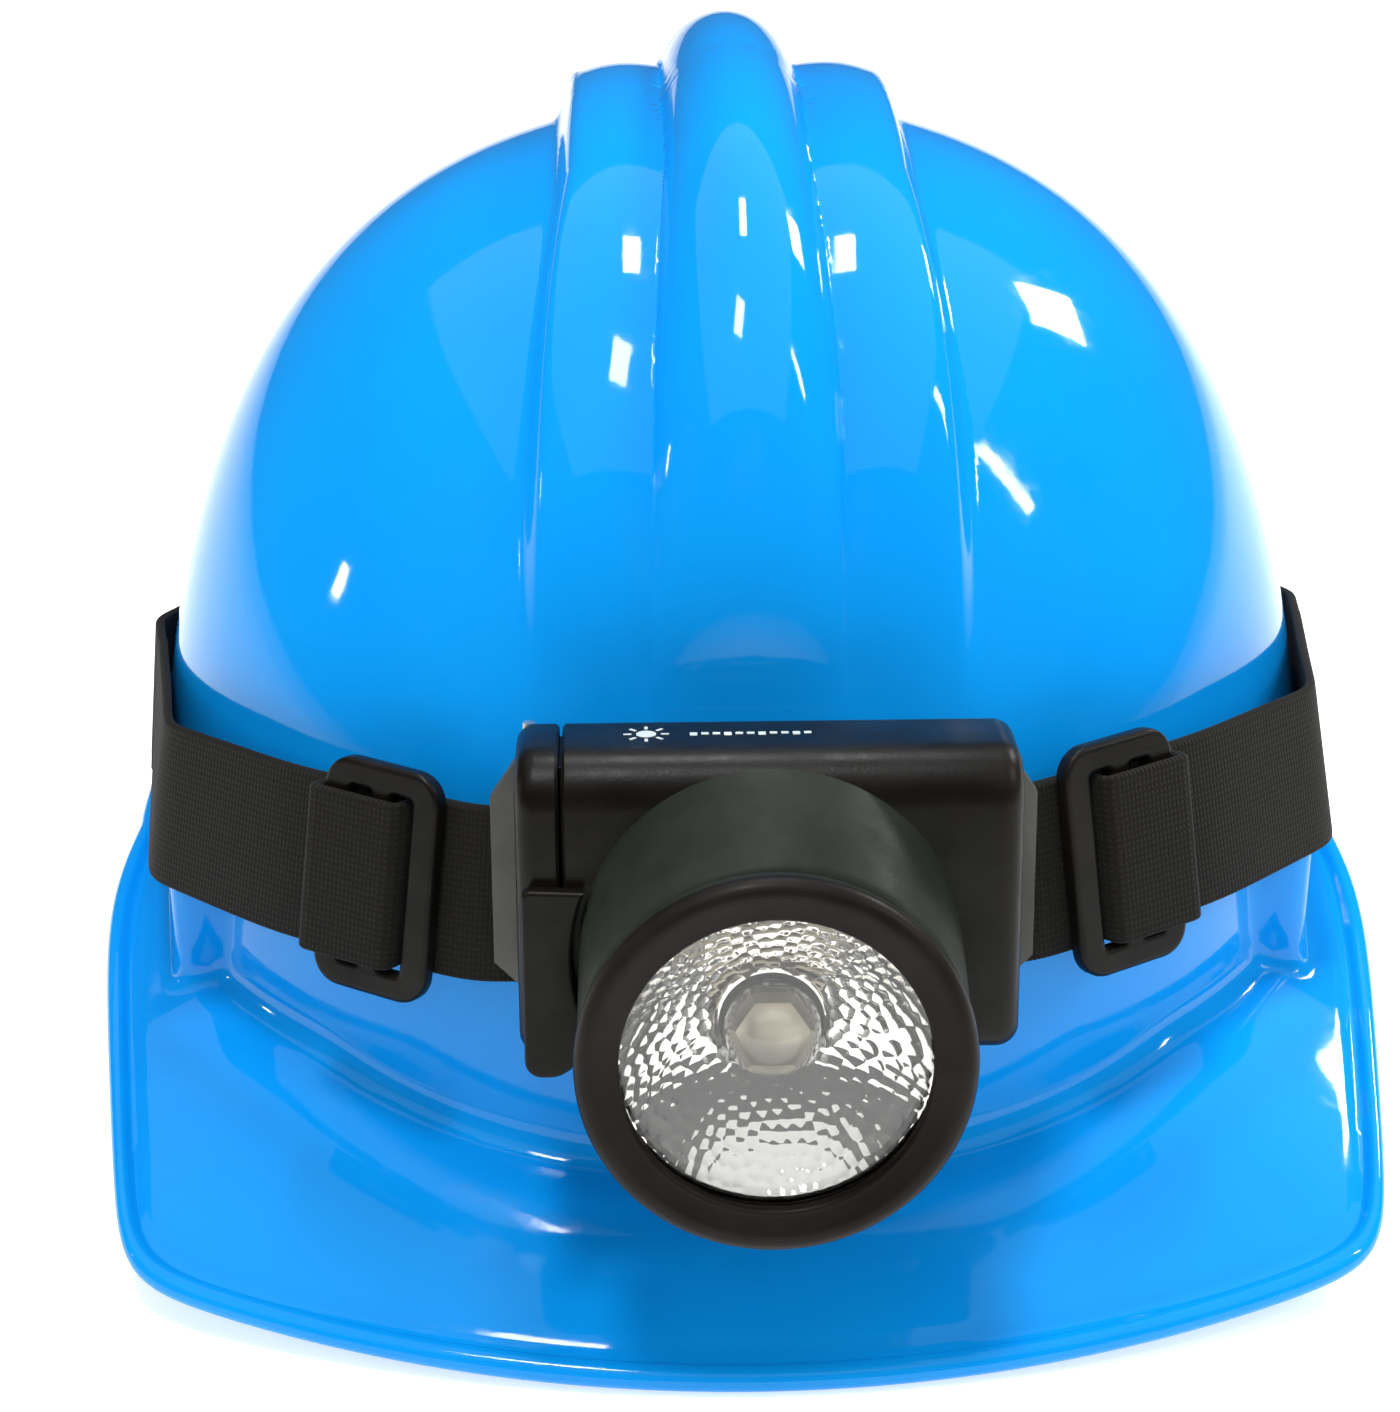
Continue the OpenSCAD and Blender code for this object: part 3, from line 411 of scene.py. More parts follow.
def metal(name, color, roughness):
    """Metal or metal plating with uneven gloss and fine waves."""
    made = material(name, color, roughness, Metallic=1.0)
    place = coordinates(made)
    haze = noise(made, place, 300.0, 6.0)
    to_shader(made, "Roughness", spread(made, haze, roughness * 0.7, roughness * 1.5))
    to_shader(made, "Normal", bump(made, noise(made, place, 1200.0, 3.0), 0.00002, 0.4))
    return made


def clear_plastic(name, color, roughness):
    """Clear moulding with faint smears."""
    made = material(name, color, roughness, Transmission_Weight=1.0, IOR=1.49)
    smears = noise(made, coordinates(made), 120.0, 4.0)
    to_shader(made, "Roughness", spread(made, smears, roughness, roughness + 0.04))
    return made


def battery_jacket():
    """Plain printed sleeve: a copper-coloured band at the positive end of a dark cell."""
    made = material("battery_jacket", (0.02, 0.02, 0.022), 0.3, Metallic=0.4)
    x = add_node(made, "SeparateXYZ", {"Vector": coordinates(made)}).outputs["X"]
    band = spread(made, x, 0, 1, 0.0052, 0.0056)
    to_shader(made, "Base Color", mix_colors(made, band, (0.02, 0.02, 0.022), (0.62, 0.3, 0.12)))
    return made


# ---------- Shell shape, as in the frame but finer ----------
def ease(low, high, value):
    """Smooth step from 0 at low to 1 at high."""
    q = np.clip((value - low) / (high - low), 0, 1)
    return q * q * (3 - 2 * q)


def dome_r(t, z, inset=0.0):
    """Radius of the dome in direction t at height z."""
    side, ahead = DOME_HALF - inset, np.where(np.sin(t) < 0, DOME_FRONT, DOME_BACK) - inset
    power = PLAN_POWER_FOOT + (PLAN_POWER_CROWN - PLAN_POWER_FOOT) * z / DOME_HEIGHT
    plan = (np.abs(np.cos(t) / side) ** power + np.abs(np.sin(t) / ahead) ** power) ** (-1 / power)
    drop = np.maximum(0, 1 - (np.maximum(0, z) / (DOME_HEIGHT - inset)) ** PROFILE_POWER)
    return plan * drop ** (1 / PROFILE_POWER)


def line_r(t, normal, distance):
    """Distance in direction t to a straight line on either side of the hat."""
    facing = math.cos(normal) * np.abs(np.cos(t)) + math.sin(normal) * np.sin(t)
    return np.where(facing > 0.05, distance / np.maximum(facing, 0.05), 9999.0)


def behind(t):
    """Degrees behind the hat's widest line, 0 in front of it."""
    return np.where(np.sin(t) < 0, 0, np.degrees(np.arcsin(np.clip(np.sin(t), -1, 1))))


def edge_z(y):
    """Height of the edge bead along the hat."""
    ahead = np.minimum(1, np.abs(ARCH_Y - y) / (ARCH_Y + PEAK_REACH)) ** 2
    after = np.minimum(1, np.abs(y - ARCH_Y) / (DOME_BACK + RIM_WIDTH - ARCH_Y)) ** 2
    return ARCH_Z - (ARCH_Z - BEAD_R) * np.where(y < ARCH_Y, ahead, after)


def peak_r(t):
    """Outline of peak and rim."""
    side, rear = line_r(t, -SIDE_TAPER, SIDE_DISTANCE), line_r(t, SIDE_TAPER, REAR_SIDE_DISTANCE)
    centre = (PEAK_RADIUS - PEAK_REACH) * np.sin(t)
    tip = centre + np.sqrt(centre**2 - (PEAK_RADIUS - PEAK_REACH) ** 2 + PEAK_RADIUS**2)
    peak = (side**-36 + rear**-36 + tip**-36) ** (-1 / 36)
    rim = dome_r(t, 20.0) + RIM_WIDTH
    return rim + np.maximum(0, peak - rim) * ease(16, -2, behind(t))


def pad_r(t):
    """Outline of the side pads."""
    front = np.where(np.sin(t) < -0.05, PAD_FRONT / np.minimum(np.sin(t), -0.05), 9999.0)
    return (line_r(t, -PAD_TAPER, PAD_DISTANCE) ** -60 + front**-60) ** (-1 / 60)


def skin_r(t, z, inset=0.0):
    """Radius of the dome with its side pads."""
    r = dome_r(t, z, inset)
    return r + np.maximum(0, pad_r(t) - inset - r) * ease(PAD_TOP, PAD_TOP - 8, z) * ease(9, 2, behind(t))


def ridge(x, y, z):
    """Height of the three ridges above the dome."""
    core = RIDGE_HALF + 0.055 * np.maximum(0, np.abs(y) - 30)
    outer = FLANK_HALF + 0.1 * np.maximum(0, np.abs(y) - 30)
    s = np.abs(x)
    middle = np.maximum(0, 1 - (s / core) ** 2) ** 0.75
    swell = 0.8 + 0.2 * np.sin(math.pi * np.clip((s - core) / (outer - core), 0, 1))
    flank = swell * ease(outer + 1, outer - 5, s)
    return (RIDGE_RISE * middle + FLANK_RISE * flank) * ease(RIDGE_FADE_LOW, RIDGE_FADE_HIGH, z)


def skin_points(t, z, inset=0.0):
    """Points of the skin, pushed out along it by the ridges."""
    r = skin_r(t, z, inset)
    p = np.stack([r * np.cos(t), r * np.sin(t), z], axis=-1)
    away = p - np.stack([0 * z, 0 * z, 0.3 * z], axis=-1)
    away /= np.linalg.norm(away, axis=-1, keepdims=True)
    return p + away * ridge(p[..., 0], p[..., 1], z)[..., None]


def brim(t):
    """Edge radius, edge height, foot radius and foot height of the brim."""
    edge = peak_r(t)
    low = edge_z(edge * np.sin(t))
    high = low + (edge - skin_r(t, low + 4)) * math.tan(PEAK_SLOPE)
    return edge, low, skin_r(t, high), high


def around(t, r, z):
    """Points in direction t at radius r and height z."""
    return np.stack([r * np.cos(t), r * np.sin(t), z + 0 * t], axis=-1)


def hat_shell():
    """The moulded cap: ridged dome, side pads, peak, rolled bead and hollow inside."""
    k = np.linspace(0, 2 * math.pi, 640, endpoint=False)
    t = k + 0.3 * np.sin(2 * k)
    edge, low, foot, high = brim(t)
    fillet = np.minimum(4.0, 0.25 * (edge - foot))
    inner, outer = foot + fillet, edge - 2.1 * BEAD_R

    def surface(r):
        q = np.maximum(0, (r - foot) / (edge - foot))
        groove = 0.75 * np.exp(-(((r - edge + 2.3 * BEAD_R) / 1.3) ** 2))
        return high - (high - low) * q**1.25 - groove

    rows = []
    start = high + 1.2 * fillet
    end = np.arcsin((start / DOME_HEIGHT) ** (PROFILE_POWER / 2))
    for q in np.linspace(0, 1, 150):
        slant = math.pi / 2 - (math.pi / 2 - end) * q
        rows.append(skin_points(t, DOME_HEIGHT * np.sin(slant) ** (2 / PROFILE_POWER)))
    foot_row = rows[-1]
    corner, landing = around(t, foot, high), around(t, inner, surface(inner))
    for q in np.linspace(0, 1, 8)[1:]:
        rows.append((1 - q) ** 2 * foot_row + 2 * q * (1 - q) * corner + q * q * landing)
    for q in np.linspace(0, 1, 22)[1:]:
        r = inner + (outer - inner) * q
        rows.append(around(t, r, surface(r)))
    for angle in np.radians(np.linspace(140, -120, 18)):
        rows.append(around(t, edge - BEAD_R + BEAD_R * math.cos(angle), low + BEAD_R * math.sin(angle)))
    for q in np.linspace(0.9, 0, 8):
        r = inner + (outer - inner) * q
        rows.append(around(t, r, surface(r) - 2.4))
    inside = DOME_HEIGHT - WALL
    end = np.arcsin(((high - 2.3) / inside) ** (PROFILE_POWER / 2))
    for q in np.linspace(1, 0, 60):
        slant = math.pi / 2 - (math.pi / 2 - end) * q
        rows.append(skin_points(t, inside * np.sin(slant) ** (2 / PROFILE_POWER), WALL))
    obj = lattice("cap_shell", rows, sharp=60)
    return give(obj, "hat", shell_plastic(), "shell_blue", "shell_crown", "shell_wall", "shell_brim")


# ---------- Strap and buckles ----------
def strap_z(x, y):
    """Height of the webbing's lower edge."""
    q = np.clip((y + STRAP_FRONT_Y) / (DOME_BACK + STRAP_FRONT_Y), 0, 1)
    drop = (1 - np.cos(math.pi * q**STRAP_DROP_POWER)) / 2
    return STRAP_FRONT_Z + (STRAP_BACK_Z - STRAP_FRONT_Z) * drop + STRAP_ROLL * x * (1 - q)


def strap_lean(t, z):
    """Inward lean of the webbing over its width."""
    return dome_r(t, z) - dome_r(t, z + STRAP_W)


def strap_r(t, z):
    """Distance of the webbing's middle layer from the dome's centre."""
    clear = STRAP_GAP + STRAP_T / 2
    lean = strap_lean(t, z)
    skin = np.max([skin_r(t, z + STRAP_W * q) + lean * q for q in (0, 0.25, 0.5, 0.75, 1)], axis=0)
    runs = sum(line_r(t, math.radians(normal), distance) ** -90.0 for normal, distance in STRAP_LINES)
    front = np.maximum(np.maximum(runs, 1e-250) ** (-1 / 90), dome_r(t, z) + clear)
    return np.where(np.sin(t) < -0.075, front, skin + clear)


def webbing(name, start, stop, steps, finish, node):
    """Webbing on its route between two directions, leaning in with the shell."""
    t = np.linspace(start, stop, steps)
    r = strap_r(t, STRAP_FRONT_Z)
    z = strap_z(r * np.cos(t), r * np.sin(t))
    r = strap_r(t, z)
    z = strap_z(r * np.cos(t), r * np.sin(t))
    lean = strap_lean(t, z)
    width = around(t, -lean, np.full_like(t, STRAP_W)) / STRAP_W
    middle = around(t, r, z) + width * STRAP_W / 2
    obj = ribbon(name, middle, around(t, 1.0, 0.0), width, STRAP_W, STRAP_T)
    return give(obj, "strap", finish, "lamp_webbing", node)


def buckle_place(side):
    """Frame of a buckle: X away from the lamp along the strap, -Y away from the hat."""
    distance = STRAP_LINES[1][1]
    x, y = side * distance * math.cos(BUCKLE_ANGLE), distance * math.sin(BUCKLE_ANGLE)
    z = float(strap_z(x, y)) + STRAP_W / 2
    lean = float(strap_lean(BUCKLE_ANGLE, z - STRAP_W / 2))
    place = HAT @ Matrix.Rotation(side * (BUCKLE_ANGLE + math.pi / 2), 4, "Z")
    place = place @ Matrix.Translation(Vector((0, lean / 2 - distance, z)))
    place = place @ Matrix.Rotation(-math.atan(lean / STRAP_W), 4, "X")
    return place @ Matrix.Diagonal((side, 1, 1, 1)) @ Matrix.Translation(Vector((BUCKLE_SHIFT, 0, 0)))


def buckle(word, side, finish):
    """Ladder-lock frame with two slots and a thick rounded outline."""
    back = STRAP_T / 2 + 0.4
    turn = Matrix.Rotation(math.pi / 2, 4, "X")
    place = buckle_place(side) @ Matrix.Translation(Vector((0, -back - BUCKLE_T / 2, 0))) @ turn
    outline = round_ring(BUCKLE_W, BUCKLE_H, 5.0)
    slots = [round_ring(SLOT_W, STRAP_W + 1, 0.8)[::-1] + (x, 0) for x in (-SLOT_X, SLOT_X)]
    obj = slab(f"ladder_lock_{word}", [outline, *slots], BUCKLE_T, 0.9, place)
    return give(obj, f"{word}_buckle", finish, "black_plastic", f"buckle_{word}")


def fold(word, side, finish):
    """Webbing folded from the inner slot over the front and round the outer bar of the buckle."""
    back, half = -STRAP_T / 2 - 0.35, STRAP_T / 2
    front = -(STRAP_T / 2 + 0.4) - BUCKLE_T - 0.3 - half
    outside = BUCKLE_W / 2 + 0.4 + half
    corners = [(-SLOT_X, back - 0.3), (-SLOT_X, front), (outside, front), (outside, back)]
    path = rounded_path(corners, 1.5)
    step = np.gradient(path, axis=0)
    step /= np.linalg.norm(step, axis=1, keepdims=True)
    normals = np.stack([step[:, 1], -step[:, 0], 0 * step[:, 0]], axis=1)
    centres = np.column_stack([path, np.zeros(len(path))])
    widths = np.tile((0.0, 0.0, 1.0), (len(path), 1))
    name, place = f"webbing_fold_{word}", buckle_place(side)
    obj = ribbon(name, centres, normals, widths, STRAP_W - 0.4, STRAP_T, place)
    return give(obj, f"{word}_buckle", finish, "lamp_webbing", f"strap_fold_{word}")


# ---------- Lamp ----------
def bar_rings(sections):
    """Rings of the lamp's case at (x, inset) stations, centred on the case; a None inset closes the end."""
    rings = []
    middle = -(BODY_BACK + BODY_D / 2)
    for x, inset in sections:
        if inset is None:
            yz = np.zeros((32, 2))
        else:
            corners = tuple(max(0.6, r - inset) for r in CASE_CORNERS)
            yz = round_ring(BODY_D - 2 * inset, BODY_H - 2 * inset, corners)
        rings.append(np.column_stack([np.full(len(yz), x), middle + yz[:, 0], yz[:, 1]]))
    return rings


def rounded_end(x, radius, way):
    """Stations that round off the end of the case at x."""
    angles = np.radians(np.linspace(0, 90, 7))
    return [(x - way * radius * (1 - math.sin(a)), radius * (1 - math.cos(a))) for a in angles]


def lamp_body(finish):
    """Case with its battery compartment and rounded end."""
    outer = [(BODY_LEFT, 0.5), (BODY_LEFT + 0.5, 0), (BODY_RIGHT - 12, 0)]
    outer += rounded_end(BODY_RIGHT, 3.4, 1) + [(BODY_RIGHT, None)]
    cavity = round_ring(CAVITY_D, BODY_H - 3.8, 4.0)
    deep = BODY_RIGHT - 2
    rings = [np.column_stack([np.full(32, deep), np.full(32, CAVITY_Y), np.zeros(32)])]
    for x in (deep, BODY_LEFT):
        rings.append(np.column_stack([np.full(32, x), cavity[:, 0] + CAVITY_Y, cavity[:, 1]]))
    obj = lattice("lamp_case", rings + bar_rings(outer), LAMP)
    return give(obj, "lamp", finish, "black_plastic", "lamp_body")


def back_plate(finish):
    """Plate behind the lamp, keeping the frame's shape with softened edges."""
    return keep("back_plate", finish, 0.6)


def tilt_ears(finish):
    """Two ears under the case that turn on the tilt pins."""
    ears = []
    for x in EAR_LEFTS:
        outline = arc((EAR_Y, EAR_Z), EAR_R, 180, 360, 12)
        outline += [(EAR_Y + EAR_R, EAR_Z + 3.8), (EAR_Y - EAR_R, EAR_Z + 3.8)]
        rings = [np.array([(x + dx, y, z) for y, z in outline]) for dx in (0, EAR_T)]
        middle = [np.tile(ring.mean(axis=0), (len(ring), 1)) for ring in rings]
        ears.append(lattice(f"tilt_ear_{len(ears)}", [middle[0], *rings, middle[1]], LAMP, sharp=30))
    for ear in ears:
        give(ear, "lamp", finish, "black_plastic")


def battery_door(finish):
    """End cap of the case, with a rounded outer end."""
    end = -BODY_W / 2
    shut = BODY_LEFT - DOOR_GAP
    stations = [(end, None)] + rounded_end(end, 3.0, -1)[::-1]
    stations += [(shut - 0.5, 0), (shut, 0.5), (shut, None)]
    obj = lattice("door_cap", bar_rings(stations), LAMP)
    return give(obj, "door", finish, "black_plastic", "battery_door")


def door_latch(finish):
    """Tongue across the joint between door and case, hollowed beside the hood."""
    left, foot = -BODY_W / 2 + 0.9, LATCH_Z - 5
    outline = arc((LATCH_X, LATCH_Z), 5.0, 270, 360, 10)
    for z in np.linspace(LATCH_Z + 1, LATCH_TOP - 0.4, 16):
        beside = -math.sqrt((HOOD_BACK_R + 0.9) ** 2 - (z + AXIS_DROP - HOOD_RISE) ** 2)
        outline.append((min(left + 9.4, beside, LATCH_X + 5 + 0.05 * (z - LATCH_Z)), z))
    outline += arc((left + 1.4, LATCH_TOP - 1.4), 1.4, 90, 180, 6)
    outline += arc((left + 2.6, foot + 2.6), 2.6, 180, 270, 8)
    turn = Matrix.Rotation(math.pi / 2, 4, "X")
    place = LAMP @ Matrix.Translation(Vector((0, -BODY_FRONT - 0.5 - LATCH_T / 2, 0))) @ turn
    obj = slab("latch_tongue", [outline], LATCH_T, 0.6, place)
    return give(obj, "latch", finish, "black_plastic", "door_latch")


def lamp_hood(finish):
    """Oblique hood from the case's upper edge to the bezel, closed underneath."""
    turn = np.linspace(0, 2 * math.pi, 200, endpoint=False)

    def ring(radius, y, rise):
        z = radius * np.sin(turn) - AXIS_DROP + rise * np.clip(0.5 + np.sin(turn) / 0.3, 0, 1)
        return np.stack([radius * np.cos(turn), np.full(200, -y), z], axis=1)

    edge = 1.3
    length = HOOD_FRONT - BODY_FRONT
    rings = []
    for q in np.linspace(0, 1 - edge / length, 20):
        radius = HOOD_BACK_R + (HOOD_R - HOOD_BACK_R) * q
        rings.append(ring(radius, BODY_FRONT + length * q, HOOD_RISE * (1 - q)))
    rise = HOOD_RISE * edge / length
    for a in np.radians(np.linspace(0, 90, 7)[1:]):
        short = 1 - math.sin(a)
        rings.append(ring(HOOD_R - edge * (1 - math.cos(a)), HOOD_FRONT - edge * short, rise * short))
    seat, floor = BODY_FRONT + 4.4, BODY_FRONT + 2
    bores = [(SLEEVE_R + 0.3, HOOD_FRONT), (SLEEVE_R + 0.3, seat), (SLEEVE_R - 0.9, seat)]
    bores += [(SLEEVE_R - 0.9, floor), (6.1, floor), (6.1, BODY_FRONT)]
    rings += [ring(radius, y, 0) for radius, y in bores]
    obj = lattice("hood", rings, LAMP, closed_rows=True, sharp=50)
    return give(obj, "lamp", finish, "charcoal_plastic", "lamp_hood")


def focus_bezel(finish):
    """Turning ring in front of the hood, with its sleeve."""
    flange, face = HOOD_FRONT + 0.4, LIP_REACH - 3
    profile = [(BEZEL_BORE, BODY_FRONT + 5), (SLEEVE_R, BODY_FRONT + 5), (SLEEVE_R, flange)]
    profile += arc((LIP_R - 1.0, flange + 0.7), 0.7, -90, 0, 5)
    profile += [(LIP_R - 0.3, face), (BEZEL_BORE, face), (BEZEL_BORE, BODY_FRONT + 5)]
    return give(revolve("bezel_ring", profile), "bezel", finish, "charcoal_plastic", "focus_bezel")


def bezel_lip(finish):
    """Soft rubber lip: fat rounded outer edge, dished face and a stepped throat."""
    back = LIP_REACH - 2.95
    profile = [(WINDOW_R, back), (LIP_R - 0.2, back)]
    profile += arc((LIP_R - 2.4, LIP_REACH - 2.4), 2.4, 0, 90, 10)
    profile += [(LIP_R - 3.2, LIP_REACH - 0.1), (WINDOW_R + 1.2, LIP_REACH - 1.1)]
    profile += arc((WINDOW_R + 0.6, LIP_REACH - 1.7), 0.6, 90, 180, 5) + [(WINDOW_R, back)]
    return give(revolve("lip", profile, sharp=40), "bezel", finish, "black_rubber", "bezel_lip")


def lens(finish):
    """Flat window with a chamfered front edge."""
    front, back = LENS_FRONT, LENS_FRONT - LENS_T
    profile = [(0, front), (LENS_R - 0.3, front), (LENS_R, front - 0.3), (LENS_R, back), (0, back)]
    return give(revolve("window", profile), "optics", finish, "clear", "lens")


def hammered_cells(seed=7, count=420):
    """Seeded centres of the reflector's facets, spread evenly over the bowl by relaxing them."""
    rng = np.random.default_rng(seed)
    r = np.sqrt(rng.uniform(NECK_R**2, BOWL_R**2, count))
    a = rng.uniform(0, 2 * math.pi, count)
    points = np.stack([r * np.cos(a), r * np.sin(a)], axis=1)
    for _ in range(25):
        gap = points[:, None] - points[None]
        far = np.linalg.norm(gap, axis=2) + np.eye(count) * 9
        push = gap / far[..., None] * np.maximum(0, 2.3 - far)[..., None]
        points = points + 0.25 * push.sum(axis=1)
        reach = np.linalg.norm(points, axis=1, keepdims=True)
        points *= np.clip(reach, NECK_R, BOWL_R) / reach
    return points


def reflector(finish):
    """Deep bowl whose mirror is beaten into small hollow facets."""
    cells = hammered_cells()
    turn = np.linspace(0, 2 * math.pi, 420, endpoint=False)

    def bowl(r):
        q = (r**2 - NECK_R**2) / (BOWL_R**2 - NECK_R**2)
        return REFLECTOR_APEX + (REFLECTOR_FRONT - REFLECTOR_APEX) * q

    def ring(r, h):
        return np.stack([r * np.cos(turn), np.full(420, -h), r * np.sin(turn) - AXIS_DROP], axis=1)

    rings = []
    for r in np.linspace(NECK_R, BOWL_R - 0.8, 110):
        flat = np.stack([r * np.cos(turn), r * np.sin(turn)], axis=1)
        near = np.sort(np.linalg.norm(flat[:, None] - cells[None], axis=2), axis=1)[:, :2]
        dent = 0.16 * np.clip(near[:, 0] / 1.25, 0, 1.3) ** 2 * ease(NECK_R, NECK_R + 1.5, r)
        rings.append(np.stack([flat[:, 0], -(bowl(r) + dent), flat[:, 1] - AXIS_DROP], axis=1))
    rings += [ring(LENS_R - 0.1, REFLECTOR_FRONT - back) for back in (0.9, 1.7)]
    rings += [ring(r, bowl(r - 0.8) - 0.9) for r in np.linspace(BOWL_R, NECK_R + 0.8, 24)]
    obj = lattice("mirror_bowl", rings, LAMP, closed_rows=True, sharp=60)
    return give(obj, "optics", finish, "mirror_plating", "reflector")


def bulb(glass, core):
    """Bulb with a thick clear envelope over a dull metal collar."""
    collar = [(0, BODY_FRONT - 2.4), (4.6, BODY_FRONT - 2.4), (4.6, BODY_FRONT + 2.8)]
    collar += [(3.6, BODY_FRONT + 2.8), (3.6, BULB_FOOT - 0.1), (0, BULB_FOOT - 0.1)]
    give(revolve("bulb_collar", collar), "lamp", core, "steel", "bulb_base")
    bead = [(0, 0.5), (5.4, 0.5), (5.4, 1.6), (4.2, 2.6), (0, 2.8)]
    bead = [(r, BULB_FOOT + h) for r, h in bead]
    give(revolve("bulb_bead", bead, segments=6), "lamp", core, "steel")
    profile = [(0, BULB_FOOT), (6.6, BULB_FOOT)] + arc((6.6, BULB_FOOT + 0.6), 0.6, -90, 0, 4)
    profile += arc((0, BULB_FOOT + 1.6), 7.2, 0, 90, 16)
    give(revolve("bulb_envelope", profile), "lamp", glass, "clear", "bulb_glass")


def mark(finish):
    """Plain printed mark on the case: a disc with eight rays and a row of dashes."""
    outlines = [arc((0, 0), 1.5, 0, 360, 25)[:-1]]
    for k in range(8):
        turn = math.pi * k / 4
        across = np.array([-math.sin(turn), math.cos(turn)]) * 0.25
        ray = [np.array([math.cos(turn), math.sin(turn)]) * reach for reach in (2.2, 3.4)]
        outlines.append([ray[0] - across, ray[1] - across, ray[1] + across, ray[0] + across])
    for k in range(11):
        left, low = 6.5 + 1.7 * k, -0.45 if k % 3 else -0.9
        outlines.append([(left, low), (left + 1.1, low), (left + 1.1, 0.45), (left, 0.45)])
    ink = 0.08
    place = LAMP @ Matrix.Translation(Vector((MARK_X, MARK_Y, BODY_H / 2 + ink / 2)))
    obj = slab("lamp_mark", outlines, ink, 0.0, place)
    return give(obj, "lamp", finish, "black_plastic")


# ---------- Head suspension ----------
def band_point(t, inset=0.0):
    """Plan of the headband, an oval in front and a squarer oval behind."""
    c, s = np.cos(t), np.sin(t)
    power = np.where(s < 0, 1.0, 0.62)
    reach = np.where(s < 0, BAND_REACH, BAND_BACK) - inset
    return (BAND_HALF - inset) * np.sign(c) * np.abs(c) ** power, reach * np.sign(s) * np.abs(s) ** power


def cushion(name, stations, body, finish, node, stitches):
    """A sewn pad: stations give each row's corner, its thickness direction, thickness and height."""
    section = round_ring(1.0, 1.0, 0.3, 8)
    count = len(stations)
    rings = []
    for k, (corner, inward, thick, height) in enumerate(stations):
        q = k / (count - 1)
        closing = min(1.0, 0.25 + 5.0 * min(q, 1 - q))
        seam = 1 - 0.28 * math.exp(-((((q * stitches) % 1) - 0.5) / 0.06) ** 2)
        swell = 1 - 0.55 * (2 * section[:, 1]) ** 4
        depth = thick * (0.5 + section[:, 0] * closing * seam * swell)
        rise = height * (0.5 + section[:, 1] * (0.9 + 0.1 * closing))
        rings.append(corner + depth[:, None] * inward + rise[:, None] * np.array((0, 0, 1.0)))
    ends = [np.tile(ring.mean(axis=0), (len(ring), 1)) for ring in (rings[0], rings[-1])]
    obj = lattice(name, [ends[0], *rings, ends[1]], sharp=60)
    give(obj, body, finish, "pad_foam", node)
    return obj


def brow_pad(finish):
    """Sweatband along the front of the headband."""
    stations = []
    for t in np.radians(np.linspace(-160, -20, 141)):
        outer, inner = (np.array((*map(float, band_point(t, BAND_T + d)), 0)) for d in (0.1, 4.1))
        inward = (inner - outer) / np.linalg.norm(inner - outer)
        stations.append((outer + (0, 0, BAND_Z + 1), inward, 4.0, BAND_H - 4))
    cushion("sweatband", stations, "hat", finish, "brow_pad", 11)


def nape_pad(finish):
    """Pad in front of the ratchet."""
    back = BAND_REACH - 6.4
    forward = np.array((0, -1.0, 0))
    places = [np.array((x, back, BAND_Z + 1)) for x in np.linspace(-24, 24, 61)]
    stations = [(place, forward, 5.2, 24.0) for place in places]
    cushion("nape_cushion", stations, "hat", finish, "nape_pad", 3)


def crown_pad(finish):
    """Round quilted pad under the crossing of the two straps."""
    low, radius, thick = BAND_Z + BAND_H + 76, 26.0, 5.0
    turn = np.linspace(0, 2 * math.pi, 96, endpoint=False)
    petals = 1 - 0.22 * np.exp(-((np.abs(np.mod(turn, math.pi / 3) - math.pi / 6) / 0.09) ** 2))
    rings = []
    for way in (-1, 1):
        for q in np.linspace(0, 1, 14)[::way]:
            r = radius * math.sin(q * math.pi / 2)
            swell = (1 - q**6) ** 0.5 * (1 - (1 - petals) * min(1, 3 * q))
            rings.append(around(turn, np.full_like(turn, r), low + thick / 2 - way * swell * thick / 2))
    obj = lattice("crown_cushion", rings, sharp=60)
    give(obj, "hat", finish, "pad_foam", "crown_pad")


def crown_strap(name, angle, rise, finish, node):
    """Webbing over the head from one side of the band to the other."""
    ends = [np.array(band_point(math.radians(a)), float) for a in (angle, angle + 180)]
    span = np.linalg.norm(ends[0] - ends[1]) / 2 - BAND_T - 8.6
    s = np.linspace(0, math.pi, 80)
    foot = BAND_Z + BAND_H - 4
    height = foot + (rise - 0.6) * np.maximum(np.sin(s), 0) ** 0.8
    line = np.stack([span * np.cos(s), 0 * s, height], axis=1)
    step = np.gradient(line, axis=0)
    step /= np.linalg.norm(step, axis=1, keepdims=True)
    normals = np.stack([step[:, 2], 0 * s, -step[:, 0]], axis=1)
    middle, along = (ends[0] + ends[1]) / 2, ends[0] - ends[1]
    turn = Matrix.Rotation(math.atan2(along[1], along[0]), 4, "Z")
    place = HAT @ Matrix.Translation(Vector((*middle, 0))) @ turn
    widths = np.tile((0, 1.0, 0), (80, 1))
    obj = ribbon(name, line, normals, widths, HEAD_STRAP_W, HEAD_STRAP_T, place)
    return give(obj, "hat", finish, "head_webbing", node)


